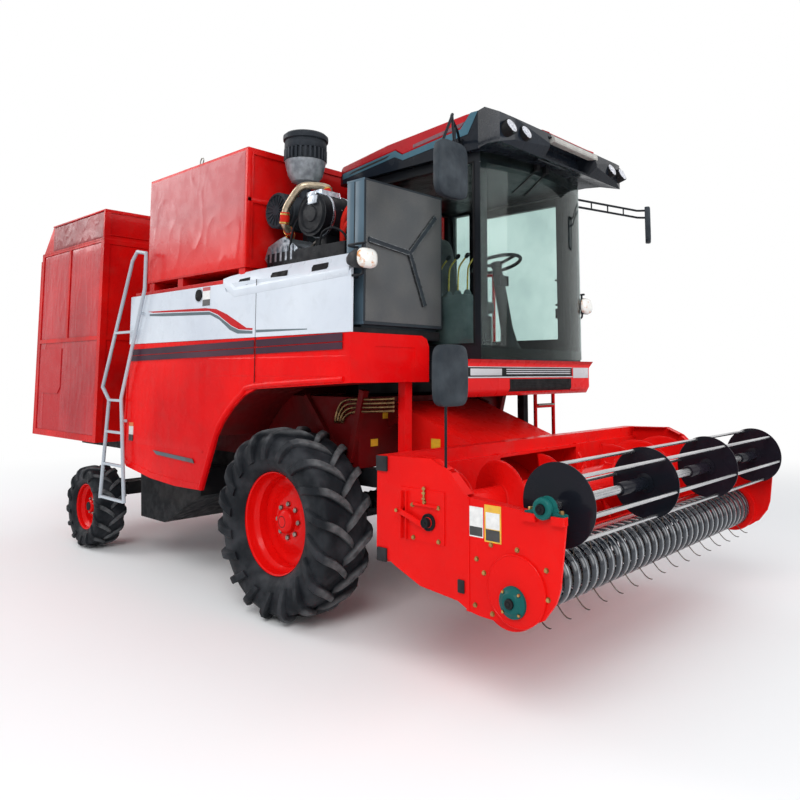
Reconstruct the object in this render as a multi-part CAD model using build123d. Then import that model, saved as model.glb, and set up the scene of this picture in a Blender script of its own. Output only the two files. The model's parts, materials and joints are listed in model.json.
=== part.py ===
"""Self-propelled pick-up combine harvester: drive axle in front, steered axle behind, cab left of the
engine bay, crop tank behind it, tall straw bin at the tail, pick-up header carried on a feeder house.

Frame: +X forward, +Y to the machine's left, +Z up, in millimetres. The origin is on the ground, midway
between the two drive wheels. The header stands in its raised road position.
"""
from build123d import *
import os
from math import atan2, cos, degrees, hypot, pi, radians, sin

os.makedirs("parts", exist_ok=True)

# ---------------------------------------------------------------- driving dimensions
WHEELBASE = 2930
CLEAR = 0.5                       # running gap round spindles and pins

BODY_HALF = 780                   # threshing body, half width
FRONT_R, FRONT_W, FRONT_RIM_R = 620, 394, 332      # drive tyre, its width and its rim
WHEEL_GAP = 42                    # drive tyre's inner face to the body
FRONT_Y = BODY_HALF + WHEEL_GAP + FRONT_W / 2      # drive wheel centre from the middle plane
FRONT_LUGS, FRONT_LUG_H, FRONT_LUG_W = 18, 38, 44
REAR_R, REAR_W, REAR_RIM_R = 370, 262, 205         # steered tyre
REAR_Y = 1053
REAR_LUGS, REAR_LUG_H, REAR_LUG_W = 14, 18, 34
AXLE_R = 75                       # drive axle tube
SPINDLE_R = 38                    # wheel spindles
BEAM_Z, BEAM_DEEP = 500, 120      # steered axle beam
KINGPIN_Y, KINGPIN_R = 850, 20    # steering pivot from the middle plane
TIE_ARM, TIE_PIN_R = 170, 12      # kingpin to tie rod pin

RAIL_Y, RAIL_W, RAIL_Z0, RAIL_Z1 = BODY_HALF - 100, 80, 850, 970
RAIL_X0, RAIL_X1 = -4120, 950
TOW_X, TOW_PIN_R = -4200, 16      # tow pin in the drawbar plate

BODY_X0, BODY_X1 = -2600, 400
BODY_TOP = 2250                   # deck that carries the tank
CAB_BAY_X = -400                  # the body steps down here to make room for cab and engine
CAB_BAY_Z = 1440

PANEL_Y = FRONT_Y + FRONT_W / 2    # outer face of the side panels, flush with the drive tyres
PANEL_T = 20
PANEL_X0, PANEL_X1 = -2042, 793
PANEL_SPLIT_Z = 1848              # white upper panel above, red lower panel below
PANEL_TOP_Z = 2262
VENTS = [(-348, -190), (-4, 170), (421, 575)]      # x of each air slot in the upper panel
SEAM_X = -185                     # joint between the two lengths of upper panel
ARCH_Z = 1545                     # lower edge of the panel over the drive wheel
ARCH_RIM, RIM_LIFT = 46, 6        # raised rim along the wheel arch
GUARD_T = 12                      # inner guard over the drive wheel

TANK_X0, TANK_X1, TANK_HALF = -1840, -382, PANEL_Y - 40
TANK_Z0, TANK_Z1 = 2360, 3245
TANK_WALL, TANK_RIB_Z, TANK_RECESS = 26, 2860, 14
TANK_DECK_T = 40

BIN_X0, BIN_X1, BIN_HALF = -4182, -2684, PANEL_Y - 20
BIN_EAVE, BIN_TOP, BIN_SLOPE = 2862, 3140, 240        # eave, roof and the sloping end of the roof
BIN_MID, BIN_SPLIT_X = 1930, -3450    # middle rail and the post above it
BIN_WALL, BIN_RAIL, BAY_DEEP = 20, 40, 10
BIN_FLOOR = RAIL_Z1
GATE_X, GATE_Z, GATE_T = BIN_X0 - 24, BIN_EAVE - 40, 24      # tailgate hinge line, gate thickness
GATE_PIN_R, GATE_TUBE_R = 10, 18
GATE_CUTS = [(-900, -712), (-688, 688), (712, 900)]          # y of each length of hinge tube

CAB_X0, CAB_X1, CAB_Y0, CAB_Y1 = -200, 1120, -376, 884
CAB_FLOOR, CAB_CEIL = 1690, 3080
CAB_SUB_Z = CAB_FLOOR - 130       # underside of the cab floor
CAB_BOW = 90                      # how far the windscreen bows forward of its pillars
CAB_WALL = 50
SILL_Z, HEAD_Z = CAB_FLOOR + 110, CAB_CEIL - 70       # side windows
REAR_SILL_Z = 2250                # rear window
PILLAR = 55                       # front pillars
PANE_T, PANE_GAP = 6, 0.5
ROOF_X0, ROOF_X1, ROOF_Y0, ROOF_Y1 = -260, 1470, -430, 965
ROOF_TOP, VISOR_EAR = 3340, 100   # the visor's ends reach out past the roof
LAMP_Y, LAMP_PITCH, LAMP_R, LAMP_TILT = 740, 165, 44, 68
DOOR_X0, DOOR_X1, DOOR_T, DOOR_RAIL = 120, 1010, 40, 60
HINGE_X, HINGE_Y = DOOR_X0 - 2, CAB_Y1 + 14              # cab door hinge line
HINGE_PIN_R, HINGE_TUBE_R, HINGE_L = 6, 12, 100
STEP_X, STEP_Y0, STEP_Y1, STEP_LOW = 792, 740, 1000, 500    # ladder to the cab
STEPS, STEP_PITCH = 4, 280

SCREEN_X0, SCREEN_Y0, SCREEN_Y1 = 632, -1113, -386    # grey box in front of the engine
SCREEN_Z0, SCREEN_Z1 = 1899, 2809
DECK_Z0, DECK_Z1 = 1820, 1880     # floor of the engine bay
ENGINE_X0, ENGINE_X1, ENGINE_Y0, ENGINE_Y1, ENGINE_TOP = -330, 520, -1030, -480, 2460
HOUSING_X, HOUSING_Z, HOUSING_R = 190, 2680, 150      # round housing above the engine
PRE_X, PRE_Y = -185, -810                             # upright pre-cleaner
FILTER_X, FILTER_Z, FILTER_R = -240, 2775, 132
CHARGE_R = 28

HEADER_HALF = 1397                # outer face of the header's side plates
PLATE_T = 12
HEAD_X0, HEAD_Z0, HEAD_Z1 = 1218, 640, 1175        # rear edge of the header
TUBE = 80                         # square tubes along the header's back
BACK_X = 1322                     # back sheet
AUGER_X, AUGER_Z, AUGER_R, AUGER_CORE, AUGER_SHAFT_R = 1590, 880, 245, 110, 25
FLIGHT_PITCH, FLIGHT_T = 420, 6
FINGERS, FINGER_R = 6, 9
TROUGH_GAP = 22
SHEET = 8
FEED_HALF = 450                   # inside half width of the feeder house
FEED_WALL = 20
FEED_Z0, FEED_Z1 = 690, 1120
PICK_X, PICK_Z, PICK_R = 2050, 642, 135            # drum of stripper bands
BANDS, BAND_W, BAND_T = 33, 64, 5
TINE_X, TINE_Z, TINE_SHAFT_R = PICK_X + 38, PICK_Z - 36, 22      # rotor low and forward in the drum
TINE_BANKS, TINE_PHASE = 3, 50    # bars of tines, and the angle of the first below the horizontal
TINE_BAR, TINE_BAR_R = 16, 60
TINE_TIP, TINE_T = 165, 6
REEL_X, REEL_Z, REEL_R, REEL_SHAFT_R = 2252, 1027, 186, 22
REEL_DISCS, REEL_RODS, REEL_ROD_R, DISC_T = 4, 6, 9, 8
SLEEVE_R, SLEEVE_L = 32, 300
NOSE_X, NOSE_Z = 2356, 986

PIVOT_X, PIVOT_Z, PIVOT_R = 480, 1330, 30      # feeder house hinge
RAM_Y = 560                       # lift rams
RAM_BASE = (300, 760)
RAM_EYE = (1080, 800)
RAM_R, RAM_ROD_R, RAM_BODY_L, RAM_ROD_L = 38, 20, 430, 560
RAM_PIN_R, RAM_EYE_BORE = 15, 22
LUG_IN, LUG_T = 22, 12            # clevis plates, their inner face from the ram's middle

TIP_Y, TIP_Z = TANK_HALF + 20, 2318         # tank hinge line
TIP_PIN_R, TIP_EYE_R, TIP_INSET = 14, 26, 160
TIP_RAM_X = -1110
TIP_RAM_BASE = (BODY_HALF - 195, 1500)        # y, z of the tank ram's foot
TIP_RAM_EYE = (TIP_RAM_BASE[0] + 11, 2288)
TIP_RAM_R, TIP_ROD_R, TIP_BODY_L, TIP_ROD_L = 45, 26, 640, 715
TIP_BAY = 110                     # half width of the shaft in the body that the tank ram stands in


# ---------------------------------------------------------------- shape helpers
def box(x0, x1, y0, y1, z0, z1):
    """A block between two corners."""
    return Pos((x0 + x1) / 2, (y0 + y1) / 2, (z0 + z1) / 2) * Box(abs(x1 - x0), abs(y1 - y0), abs(z1 - z0))


def out_from(side, near, far):
    """Lowest and highest y of something that reaches from near to far on one side of the middle plane."""
    return sorted((side * near, side * far))


def rod(p, q, r):
    """A round bar from p to q."""
    p, q = Vector(*p), Vector(*q)
    return Solid.make_cylinder(r, (q - p).length, Plane(origin=p, z_dir=q - p))


def rod_y(x, y0, y1, z, r):
    """A round bar along Y."""
    return rod((x, y0, z), (x, y1, z), r)


def pipe(points, r):
    """Round bars through the points, with a ball at each bend."""
    shape = rod(points[0], points[1], r)
    for a, b in zip(points[1:], points[2:]):
        shape += Pos(*a) * Sphere(r)
        shape += rod(a, b, r)
    return shape


def bar(p, q, wide, deep, across=(0, 1, 0)):
    """A square bar from p to q, its width lying along the given direction."""
    p, q = Vector(*p), Vector(*q)
    plane = Plane(origin=p, x_dir=Vector(*across), z_dir=q - p)
    return extrude(plane * Rectangle(wide, deep), (q - p).length)


def slab_y(points, y0, y1):
    """An outline in the XZ plane, extruded from y0 to y1."""
    face = make_face(Polyline(*[(x, 0, z) for x, z in points], close=True))
    return Pos(0, y0, 0) * extrude(face, y1 - y0, dir=(0, 1, 0))


def slab_z(points, z0, z1):
    """An outline in the XY plane, extruded from z0 to z1."""
    face = make_face(Polyline(*[(x, y, 0) for x, y in points], close=True))
    return Pos(0, 0, z0) * extrude(face, z1 - z0, dir=(0, 0, 1))


def slab_x(points, x0, x1):
    """An outline in the YZ plane, extruded from x0 to x1."""
    face = make_face(Polyline(*[(0, y, z) for y, z in points], close=True))
    return Pos(x0, 0, 0) * extrude(face, x1 - x0, dir=(1, 0, 0))


def turned_y(profile, x=0, y=0, z=0):
    """A closed (radius, y) profile revolved about the Y direction through (x, z)."""
    face = make_face(Polyline(*[(r, w, 0) for r, w in profile], close=True))
    return Pos(x, y, z) * revolve(face, Axis.Y)


def on_both_sides(shape):
    """The shape and its mirror image in the middle plane, as one compound."""
    return Compound(children=[*shape.solids(), *mirror(shape, Plane.XZ).solids()])


def save(name, *shapes):
    solids = [s for shape in shapes for s in shape.solids()]
    export_step(solids[0] if len(solids) == 1 else Compound(children=solids), f"parts/{name}.step")


# ---------------------------------------------------------------- wheels
def faceted_ring(profile, sides):
    """A closed (radius, y) outline turned about Y as a regular polygon of flat faces."""
    def point(r, y, k):
        return (r * cos(2 * pi * k / sides), y, r * sin(2 * pi * k / sides))

    faces = []
    for (r0, y0), (r1, y1) in zip(profile, profile[1:] + profile[:1]):
        for k in range(sides):
            corners = [point(r0, y0, k), point(r1, y1, k), point(r1, y1, k + 1), point(r0, y0, k + 1)]
            faces.append(Face(Wire.make_polygon(corners)))
    return Solid(Shell(faces))


def tyre(radius, width, rim_r, lugs, lug_h, lug_w):
    """Carcass with two rows of chevron lugs, axis along Y, centred on the origin."""
    crown = radius - lug_h
    sides = 3 * lugs // 2
    wall = crown - rim_r
    bead = (rim_r + CLEAR) / cos(pi / sides)
    # radius and share of the width, from the bead over the bulged wall to the crown
    half = [(bead, 0.36), (rim_r + 0.44 * wall, 0.5), (crown - 0.17 * wall, 0.48), (crown, 0.37)]
    body = faceted_ring([(r, -f * width) for r, f in half] + [(r, f * width) for r, f in reversed(half)], sides)
    slant = 45                            # lugs against the tyre's middle plane
    reach = 0.62 * width                  # length of a lug along its own line
    across = (0.5 * reach + 0.5 * lug_w) * sin(radians(slant))
    standing = radius / cos(pi / (2 * lugs))      # the tyre stands on two lugs, one in each row
    top = (standing ** 2 - across ** 2) ** 0.5
    phase = degrees(atan2(across, top))
    side = [(0, crown - 16), (0, top), (0.74 * reach, top), (reach, crown - 0.24 * wall),
            (0.9 * reach, crown - 0.36 * wall)]
    lug = slab_y([(u - 0.5 * reach, v) for u, v in side], -lug_w / 2, lug_w / 2)
    blocks = []
    for row in (1, -1):
        # the lug runs outwards from the crown's middle and trails away
        turned = Pos(0, row * 0.235 * width, 0) * Rot(0, 0, row * slant) * lug
        for k in range(lugs):
            blocks.append(Rot(0, (k + 0.25 * row) * 360 / lugs + phase, 0) * turned)
    return body + blocks


def rim(radius, width, dish, hub_r, hub_len, studs, outward):
    """Drop-centre rim with a dished disc; the disc stands dish mm outboard of the wheel's middle."""
    s = outward
    lip, well, sheet = 12, 26, 12
    outer = [(radius, -0.36), (radius, -0.2), (radius - well, -0.14), (radius - well, 0.12), (radius, 0.2),
             (radius, 0.36)]
    inner = [(radius - lip, 0.36), (radius - lip, 0.22), (radius - well - sheet, 0.14),
             (radius - well - sheet, -0.16), (radius - lip, -0.22), (radius - lip, -0.36)]
    band = turned_y([(r, f * width) for r, f in outer + inner])
    bore, seat, face_t = SPINDLE_R + CLEAR, radius - well - 10, 14
    disc = turned_y([(r, s * (dish + w)) for r, w in
                     ((bore, -face_t), (0.42 * radius, -face_t), (0.66 * radius, -44), (seat, -34), (seat, -22),
                      (0.65 * radius, -32), (0.40 * radius, 0), (bore, 0))])
    hub = turned_y([(r, s * (dish + w)) for r, w in
                    ((bore, -face_t), (hub_r, -face_t), (hub_r, 0.6 * hub_len), (0.8 * hub_r, hub_len),
                     (bore, hub_len))])
    wheel = band + disc + hub
    ring = 0.5 * (hub_r + 0.40 * radius)
    for k in range(studs):
        stud = Pos(ring, s * (dish + 8), 0) * Rot(90, 0, 0) * extrude(RegularPolygon(13, 6), 10, both=True)
        wheel += Rot(0, k * 360 / studs, 0) * stud
    return wheel


for label, side in (("right", -1), ("left", 1)):
    front = Pos(0, side * FRONT_Y, FRONT_R)
    save(f"front_tyre_{label}", front * tyre(FRONT_R, FRONT_W, FRONT_RIM_R, FRONT_LUGS, FRONT_LUG_H, FRONT_LUG_W))
    save(f"front_rim_{label}", front * rim(FRONT_RIM_R, FRONT_W, 20, 80, 62, 8, side))
    rear = Pos(-WHEELBASE, side * REAR_Y, REAR_R)
    save(f"rear_tyre_{label}", rear * tyre(REAR_R, REAR_W, REAR_RIM_R, REAR_LUGS, REAR_LUG_H, REAR_LUG_W))
    save(f"rear_rim_{label}", rear * rim(REAR_RIM_R, REAR_W, 30, 55, 42, 6, side))

# ---------------------------------------------------------------- drive axle
axle = rod_y(0, -BODY_HALF + 20, BODY_HALF - 20, FRONT_R, AXLE_R)
axle += Pos(0, 0, FRONT_R) * Sphere(190)
hanger = [(-110, FRONT_R - 110), (110, FRONT_R - 110), (150, FRONT_R), (90, RAIL_Z0), (-90, RAIL_Z0),
          (-150, FRONT_R)]
for side in (-1, 1):
    axle += slab_y(hanger, *out_from(side, BODY_HALF - 90, BODY_HALF + 10))
    axle += rod_y(0, side * BODY_HALF, side * (FRONT_Y + 80), FRONT_R, SPINDLE_R)
    seat = out_from(side, RAM_Y - 55, RAIL_Y - 40)
    axle += box(200, 340, *seat, FRONT_R + 40, FRONT_R + 60)
    axle += box(-40, 220, *seat, FRONT_R + 20, FRONT_R + 60)
    mid = side * RAM_Y                   # foot of the lift ram, with its pin
    for dy in (-LUG_IN - LUG_T, LUG_IN):
        cheek = (mid + dy, mid + dy + LUG_T)
        axle += box(RAM_BASE[0] - 50, RAM_BASE[0] + 20, *cheek, FRONT_R + 50, RAM_BASE[1] + 25)
    axle += rod_y(RAM_BASE[0], mid - LUG_IN - LUG_T, mid + LUG_IN + LUG_T, RAM_BASE[1], RAM_PIN_R)
save("front_axle", axle)

# ---------------------------------------------------------------- steered axle
rear_x = -WHEELBASE
beam_half = KINGPIN_Y - 70
beam = box(rear_x - 60, rear_x + 60, -beam_half, beam_half, BEAM_Z - BEAM_DEEP / 2, BEAM_Z + BEAM_DEEP / 2)
for side in (-1, 1):
    for z in (BEAM_Z - BEAM_DEEP / 2, BEAM_Z + BEAM_DEEP / 2 - 25):
        ear = box(rear_x - 45, rear_x + 45, *out_from(side, KINGPIN_Y - 75, KINGPIN_Y), z, z + 25)
        ear += Pos(rear_x, side * KINGPIN_Y, z + 12.5) * Cylinder(45, 25)
        beam += ear
    beam += rod((rear_x, side * KINGPIN_Y, BEAM_Z - 60), (rear_x, side * KINGPIN_Y, BEAM_Z + 60), KINGPIN_R)
save("rear_axle", beam)

for label, side in (("right", -1), ("left", 1)):
    pin_y, arm_x = side * KINGPIN_Y, rear_x - TIE_ARM
    knuckle = Pos(rear_x, pin_y, BEAM_Z) * Cylinder(36, 66)
    stub, drop = out_from(side, KINGPIN_Y, KINGPIN_Y + 80), out_from(side, KINGPIN_Y + 50, KINGPIN_Y + 80)
    knuckle += box(rear_x - 30, rear_x + 30, *stub, BEAM_Z - 33, BEAM_Z + 33)
    knuckle += box(rear_x - 42, rear_x + 42, *drop, REAR_R - 42, BEAM_Z + 33)
    knuckle += rod_y(rear_x, side * (KINGPIN_Y + 60), side * (REAR_Y + 75), REAR_R, SPINDLE_R)
    knuckle += box(arm_x, rear_x - 20, *out_from(side, KINGPIN_Y - 20, KINGPIN_Y + 20), BEAM_Z - 20, BEAM_Z + 5)
    knuckle += Pos(arm_x, pin_y, BEAM_Z - 7.5) * Cylinder(26, 25)
    knuckle -= Pos(rear_x, pin_y, BEAM_Z) * Cylinder(KINGPIN_R + CLEAR, 140)
    knuckle += Pos(arm_x, pin_y, BEAM_Z + 30) * Cylinder(TIE_PIN_R, 60)
    save(f"knuckle_{label}", knuckle)

tie = rod_y(rear_x - TIE_ARM, -KINGPIN_Y, KINGPIN_Y, BEAM_Z + 40, 16)
for side in (-1, 1):
    tie += Pos(rear_x - TIE_ARM, side * KINGPIN_Y, BEAM_Z + 40) * Cylinder(26, 34)
for side in (-1, 1):
    tie -= Pos(rear_x - TIE_ARM, side * KINGPIN_Y, BEAM_Z + 40) * Cylinder(TIE_PIN_R + CLEAR, 60)
save("tie_rod", tie)

# ---------------------------------------------------------------- chassis frame
frame = box(RAIL_X0, RAIL_X1, RAIL_Y - RAIL_W / 2, RAIL_Y + RAIL_W / 2, RAIL_Z0, RAIL_Z1)
frame += mirror(frame, Plane.XZ)
frame += box(rear_x - 90, rear_x + 90, -RAIL_Y, RAIL_Y, RAIL_Z0 - 100, RAIL_Z0)      # carrier of the steered axle
cheek = [(-160, RAIL_Z0 - 90), (160, RAIL_Z0 - 90), (70, BEAM_Z - 50), (-70, BEAM_Z - 50)]
for x in (rear_x - 85, rear_x + 65):
    frame += slab_x(cheek, x, x + 20)
for x0, x1 in ((rear_x - 95, rear_x - 60), (rear_x + 60, rear_x + 95)):
    frame += rod((x0, 0, BEAM_Z), (x1, 0, BEAM_Z), 30)
for x in (RAIL_X0 + 40, -2750, -1300, -500):
    frame += box(x - 40, x + 40, -RAIL_Y, RAIL_Y, RAIL_Z0, RAIL_Z1)
frame += box(TOW_X - 50, RAIL_X0 + 10, -60, 60, RAIL_Z0, RAIL_Z0 + 40)               # drawbar plate
frame -= Pos(TOW_X, 0, RAIL_Z0 + 20) * Cylinder(TOW_PIN_R, 60)
for side, top in ((1, CAB_SUB_Z), (-1, DECK_Z0)):      # struts that carry the cab and engine floors
    frame += box(690, 750, *out_from(side, RAIL_Y - 40, RAIL_Y + 20), RAIL_Z1, top)
save("chassis_frame", frame)

# ---------------------------------------------------------------- threshing body
body = slab_y([(BODY_X0, RAIL_Z1), (BODY_X1, RAIL_Z1), (BODY_X1, CAB_BAY_Z), (CAB_BAY_X, CAB_BAY_Z),
               (CAB_BAY_X, BODY_TOP), (BODY_X0, BODY_TOP)], -BODY_HALF, BODY_HALF)
panel_back = PANEL_Y - PANEL_T
for x in (-1950, -1150, -460):           # posts that carry the side panels
    body += box(x - 30, x + 30, -panel_back, panel_back, RAIL_Z1 + 500, BODY_TOP)
ram_y, ram_z = TIP_RAM_BASE
ram_bay = (TIP_RAM_X - TIP_BAY, TIP_RAM_X + TIP_BAY, ram_y - 120, ram_y + 170)       # shaft round the tank ram
body -= box(*ram_bay, ram_z - 70, BODY_TOP + 10)
for side in (-1, 1):
    brace_y = side * (BODY_HALF + 8)     # struts in the wheel arch, from the floors down to the body
    for x0, z0, x1, z1 in ((-150, CAB_BAY_Z, 200, 1060), (455, ARCH_Z - 55, 330, 1010)):
        body += bar((x1, brace_y, z1), (x0, brace_y, z0), 50, 46)
    ear = [(BODY_X1, PIVOT_Z - 110), (PIVOT_X + 40, PIVOT_Z - 50), (PIVOT_X + 40, PIVOT_Z + 45),
           (BODY_X1, PIVOT_Z + 90)]
    body += slab_y(ear, *out_from(side, FEED_HALF + FEED_WALL + 12, FEED_HALF + FEED_WALL + 42))
pivot_half = FEED_HALF + FEED_WALL + 60
body += rod_y(PIVOT_X, -pivot_half, pivot_half, PIVOT_Z, PIVOT_R)
for x0, x1 in ((TIP_RAM_X - TIP_BAY, TIP_RAM_X - LUG_IN), (TIP_RAM_X + LUG_IN, TIP_RAM_X + TIP_BAY)):
    body += box(x0, x1, ram_y - 40, ram_y + 40, ram_z - 75, ram_z + 25)              # foot of the tank ram
body += rod((TIP_RAM_X - 40, ram_y, ram_z), (TIP_RAM_X + 40, ram_y, ram_z), RAM_PIN_R)
save("threshing_body", body)

# ---------------------------------------------------------------- side panels, (x, z) outlines
arch = [(PANEL_X1, ARCH_Z), (-172, 1494), (-311, 1445), (-443, 1358), (-560, 1250), (-634, 1150), (-813, 750)]
tail = [(-1193, 743), (-1591, 765), (-2014, 823), (-2110, 900), (-2110, 940)]
lower = [(PANEL_X1, PANEL_SPLIT_Z)] + arch + tail + [(PANEL_X0, PANEL_SPLIT_Z)]
sunk_arch = [(PANEL_X1 + 5, ARCH_Z + ARCH_RIM), (-180, 1494 + ARCH_RIM), (-330, 1445 + ARCH_RIM), (-475, 1391),
             (-600, 1277), (-680, 1167), (-845, 795)]
sunk_tail = [(-1190, 790), (-1591, 811), (-2005, 869), (-2062, 910), (-2062, 940)]
sunk = sunk_arch + sunk_tail + [(PANEL_X0 - 5, PANEL_SPLIT_Z + 5), (PANEL_X1 + 5, PANEL_SPLIT_Z + 5)]
lower_right = slab_y(lower, -PANEL_Y, -panel_back) - slab_y(sunk, -PANEL_Y - 5, -PANEL_Y + RIM_LIFT)
cap_y = -518                             # front cap, its inner top corner rounded off
cap = [(-PANEL_Y, ARCH_Z), (cap_y, ARCH_Z), (cap_y, PANEL_SPLIT_Z - 70), (cap_y - 22, PANEL_SPLIT_Z - 20),
       (cap_y - 70, PANEL_SPLIT_Z), (-PANEL_Y, PANEL_SPLIT_Z)]
lower_right += slab_x(cap, PANEL_X1 - PANEL_T, PANEL_X1)
lower_right -= box(PANEL_X1 - 5, PANEL_X1 + 5, -1014, -654, 1636, 1768)
step_z = CAB_FLOOR - 30                  # the left panel stops under the cab's side step
left_outline = [(PANEL_X1, step_z)] + arch + tail + [(PANEL_X0, PANEL_SPLIT_Z), (SEAM_X, PANEL_SPLIT_Z),
                                                     (SEAM_X, step_z)]
lower_left = slab_y(left_outline, panel_back, PANEL_Y) - slab_y(sunk, PANEL_Y - RIM_LIFT, PANEL_Y + 5)
save("lower_panels", lower_right, lower_left)

upper_z = PANEL_SPLIT_Z + 0.5
rear_top, seam_top, front_top = PANEL_TOP_Z - 7, PANEL_TOP_Z - 12, PANEL_TOP_Z - 30
upper_right = slab_y([(PANEL_X0, upper_z), (PANEL_X1, upper_z), (PANEL_X1, front_top), (SEAM_X, seam_top),
                      (PANEL_X0, rear_top)], -PANEL_Y, -panel_back)
ledge = [(-562, 2188), (-600, PANEL_TOP_Z), (PANEL_X1 + 5, 2240), (PANEL_X1 + 5, front_top), (737, 2200)]
upper_right -= slab_y(ledge, -PANEL_Y - 5, -PANEL_Y + 8)
for x0, x1 in VENTS:
    slot = [(x0, 2200), (x1, 2203), (x1 + 22, 2228), (x0 + 22, 2225)]
    upper_right -= slab_y(slot, -PANEL_Y - 5, -panel_back + 5)
upper_left = slab_y([(PANEL_X0, upper_z), (SEAM_X, upper_z), (SEAM_X, seam_top), (PANEL_X0, rear_top)],
                    panel_back, PANEL_Y)
save("upper_panels", upper_right, upper_left)

guard_line = [(min(x, PANEL_X1 - PANEL_T - 1), z + 1) for x, z in arch[:6]]
guard = [(x, z) for x, z in guard_line] + [(x, z + GUARD_T) for x, z in reversed(guard_line)]
save("wheel_arches", on_both_sides(slab_y(guard, BODY_HALF, panel_back)))

# ---------------------------------------------------------------- crop tank and its deck
deck = box(PANEL_X0, CAB_BAY_X, -TANK_HALF, TANK_HALF, BODY_TOP, BODY_TOP + TANK_DECK_T)
for x in (TANK_X0 + 60, (TANK_X0 + TANK_X1) / 2 - 200, TANK_X1 - 60):      # bearers under the tank
    deck += box(x - 40, x + 40, -TANK_HALF + 10, TANK_HALF - 60, BODY_TOP + TANK_DECK_T, TANK_Z0 - 0.5)
deck -= box(*ram_bay, BODY_TOP - 10, BODY_TOP + 60)
hinges = (TANK_X0 + TIP_INSET, TANK_X1 - TIP_INSET)
for x in hinges:
    for x0 in (x - 80, x + 50):
        deck += box(x0, x0 + 30, TIP_Y - 70, TIP_Y, BODY_TOP, TIP_Z)
        deck += Pos(x0 + 15, TIP_Y, TIP_Z) * Rot(0, 90, 0) * Cylinder(TIP_EYE_R, 30)
    deck += rod((x - 80, TIP_Y, TIP_Z), (x + 80, TIP_Y, TIP_Z), TIP_PIN_R)
save("tank_deck", deck)

tank = box(TANK_X0, TANK_X1, -TANK_HALF, TANK_HALF, TANK_Z0, TANK_Z1)
tank -= box(TANK_X0 + TANK_WALL, TANK_X1 - TANK_WALL, -TANK_HALF + TANK_WALL, TANK_HALF - TANK_WALL,
            TANK_Z0 + TANK_WALL, TANK_Z1 + 10)
for x0, x1 in ((TANK_X0 - 1, TANK_X0 + TANK_RECESS), (TANK_X1 - TANK_RECESS, TANK_X1 + 1)):
    for y0, y1 in ((-TANK_HALF + 50, -25), (25, TANK_HALF - 50)):          # end sheets set back in a frame
        for z0, z1 in ((TANK_Z0 + 60, TANK_RIB_Z - 20), (TANK_RIB_Z + 20, TANK_Z1 - 45)):
            tank -= box(x0, x1, y0, y1, z0, z1)
for x in hinges:
    lug = box(x - 45, x + 45, TIP_Y - 40, TIP_Y, TIP_Z - 10, TANK_Z0)
    lug += Pos(x, TIP_Y, TIP_Z) * Rot(0, 90, 0) * Cylinder(TIP_EYE_R, 90)
    lug -= Pos(x, TIP_Y, TIP_Z) * Rot(0, 90, 0) * Cylinder(TIP_PIN_R + CLEAR, 120)
    tank += lug
eye_y, eye_z = TIP_RAM_EYE
for x0 in (TIP_RAM_X - 20 - LUG_T, TIP_RAM_X + 20):
    tank += box(x0, x0 + LUG_T, eye_y - 35, eye_y + 35, eye_z - 35, TANK_Z0)
save("tank", tank)

# ---------------------------------------------------------------- straw bin
side_outline = [(BIN_X0, BIN_FLOOR), (BIN_X1, BIN_FLOOR), (BIN_X1, BIN_TOP), (BIN_X0 + BIN_SLOPE, BIN_TOP),
                (BIN_X0, BIN_EAVE)]
inner_outline = [(BIN_X0 - 10, BIN_FLOOR + BIN_WALL), (BIN_X1 - BIN_WALL, BIN_FLOOR + BIN_WALL),
                 (BIN_X1 - BIN_WALL, BIN_TOP - BIN_WALL), (BIN_X0 + BIN_SLOPE + 10, BIN_TOP - BIN_WALL),
                 (BIN_X0 + BIN_WALL, BIN_EAVE - 25), (BIN_X0 - 10, BIN_EAVE - 25)]
bin_shell = slab_y(side_outline, -BIN_HALF, BIN_HALF)
bin_shell -= slab_y(inner_outline, -BIN_HALF + BIN_WALL, BIN_HALF - BIN_WALL)
rail = BIN_RAIL / 2
bays = [(BIN_X0 + 50, BIN_SPLIT_X - rail, BIN_MID + rail, BIN_EAVE - 30),      # x0, x1, z0, z1 of each sheet
        (BIN_SPLIT_X + rail, BIN_X1 - 60, BIN_MID + rail, BIN_EAVE - 30),
        (BIN_X0 + 50, BIN_X1 - 60, BIN_FLOOR + 60, BIN_MID - rail)]
eave_band = [(BIN_X0 - 5, BIN_EAVE + 6), (BIN_X1 + 5, BIN_EAVE + 6), (BIN_X1 + 5, BIN_TOP + 5),
             (BIN_X0 - 5, BIN_TOP + 5)]
embossed = [(BIN_X0 + 90, 1420), (BIN_X0 + 150, 1400), (BIN_X0 + 560, 1400), (BIN_X0 + 620, 1460),
            (BIN_X0 + 620, 1850), (BIN_X0 + 90, 1850)]
for side in (-1, 1):
    for x0, x1, z0, z1 in bays:
        bin_shell -= box(x0, x1, *out_from(side, BIN_HALF - BAY_DEEP, BIN_HALF + 5), z0, z1)
    bin_shell -= slab_y(eave_band, *out_from(side, BIN_HALF - 14, BIN_HALF + 5))
    bin_shell += slab_y(embossed, *out_from(side, BIN_HALF - BAY_DEEP - 2, BIN_HALF - 2))
front_bays = ((BIN_FLOOR + 60, BIN_MID - rail), (BIN_MID + rail, BIN_EAVE - 50), (BIN_EAVE + 20, BIN_TOP - 30))
for z0, z1 in front_bays:
    for y0, y1 in ((-BIN_HALF + 60, -20), (20, BIN_HALF - 60)):
        bin_shell -= box(BIN_X1 - BAY_DEEP, BIN_X1 + 5, y0, y1, z0, z1)
for y in (-700, 700):                    # brackets of the tailgate hinge
    bin_shell += box(GATE_X - 14, BIN_X0, y - 10, y + 10, GATE_Z - 16, BIN_EAVE)
bin_shell += rod_y(GATE_X, -900, 900, GATE_Z, GATE_PIN_R)
save("straw_bin", bin_shell)

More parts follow.
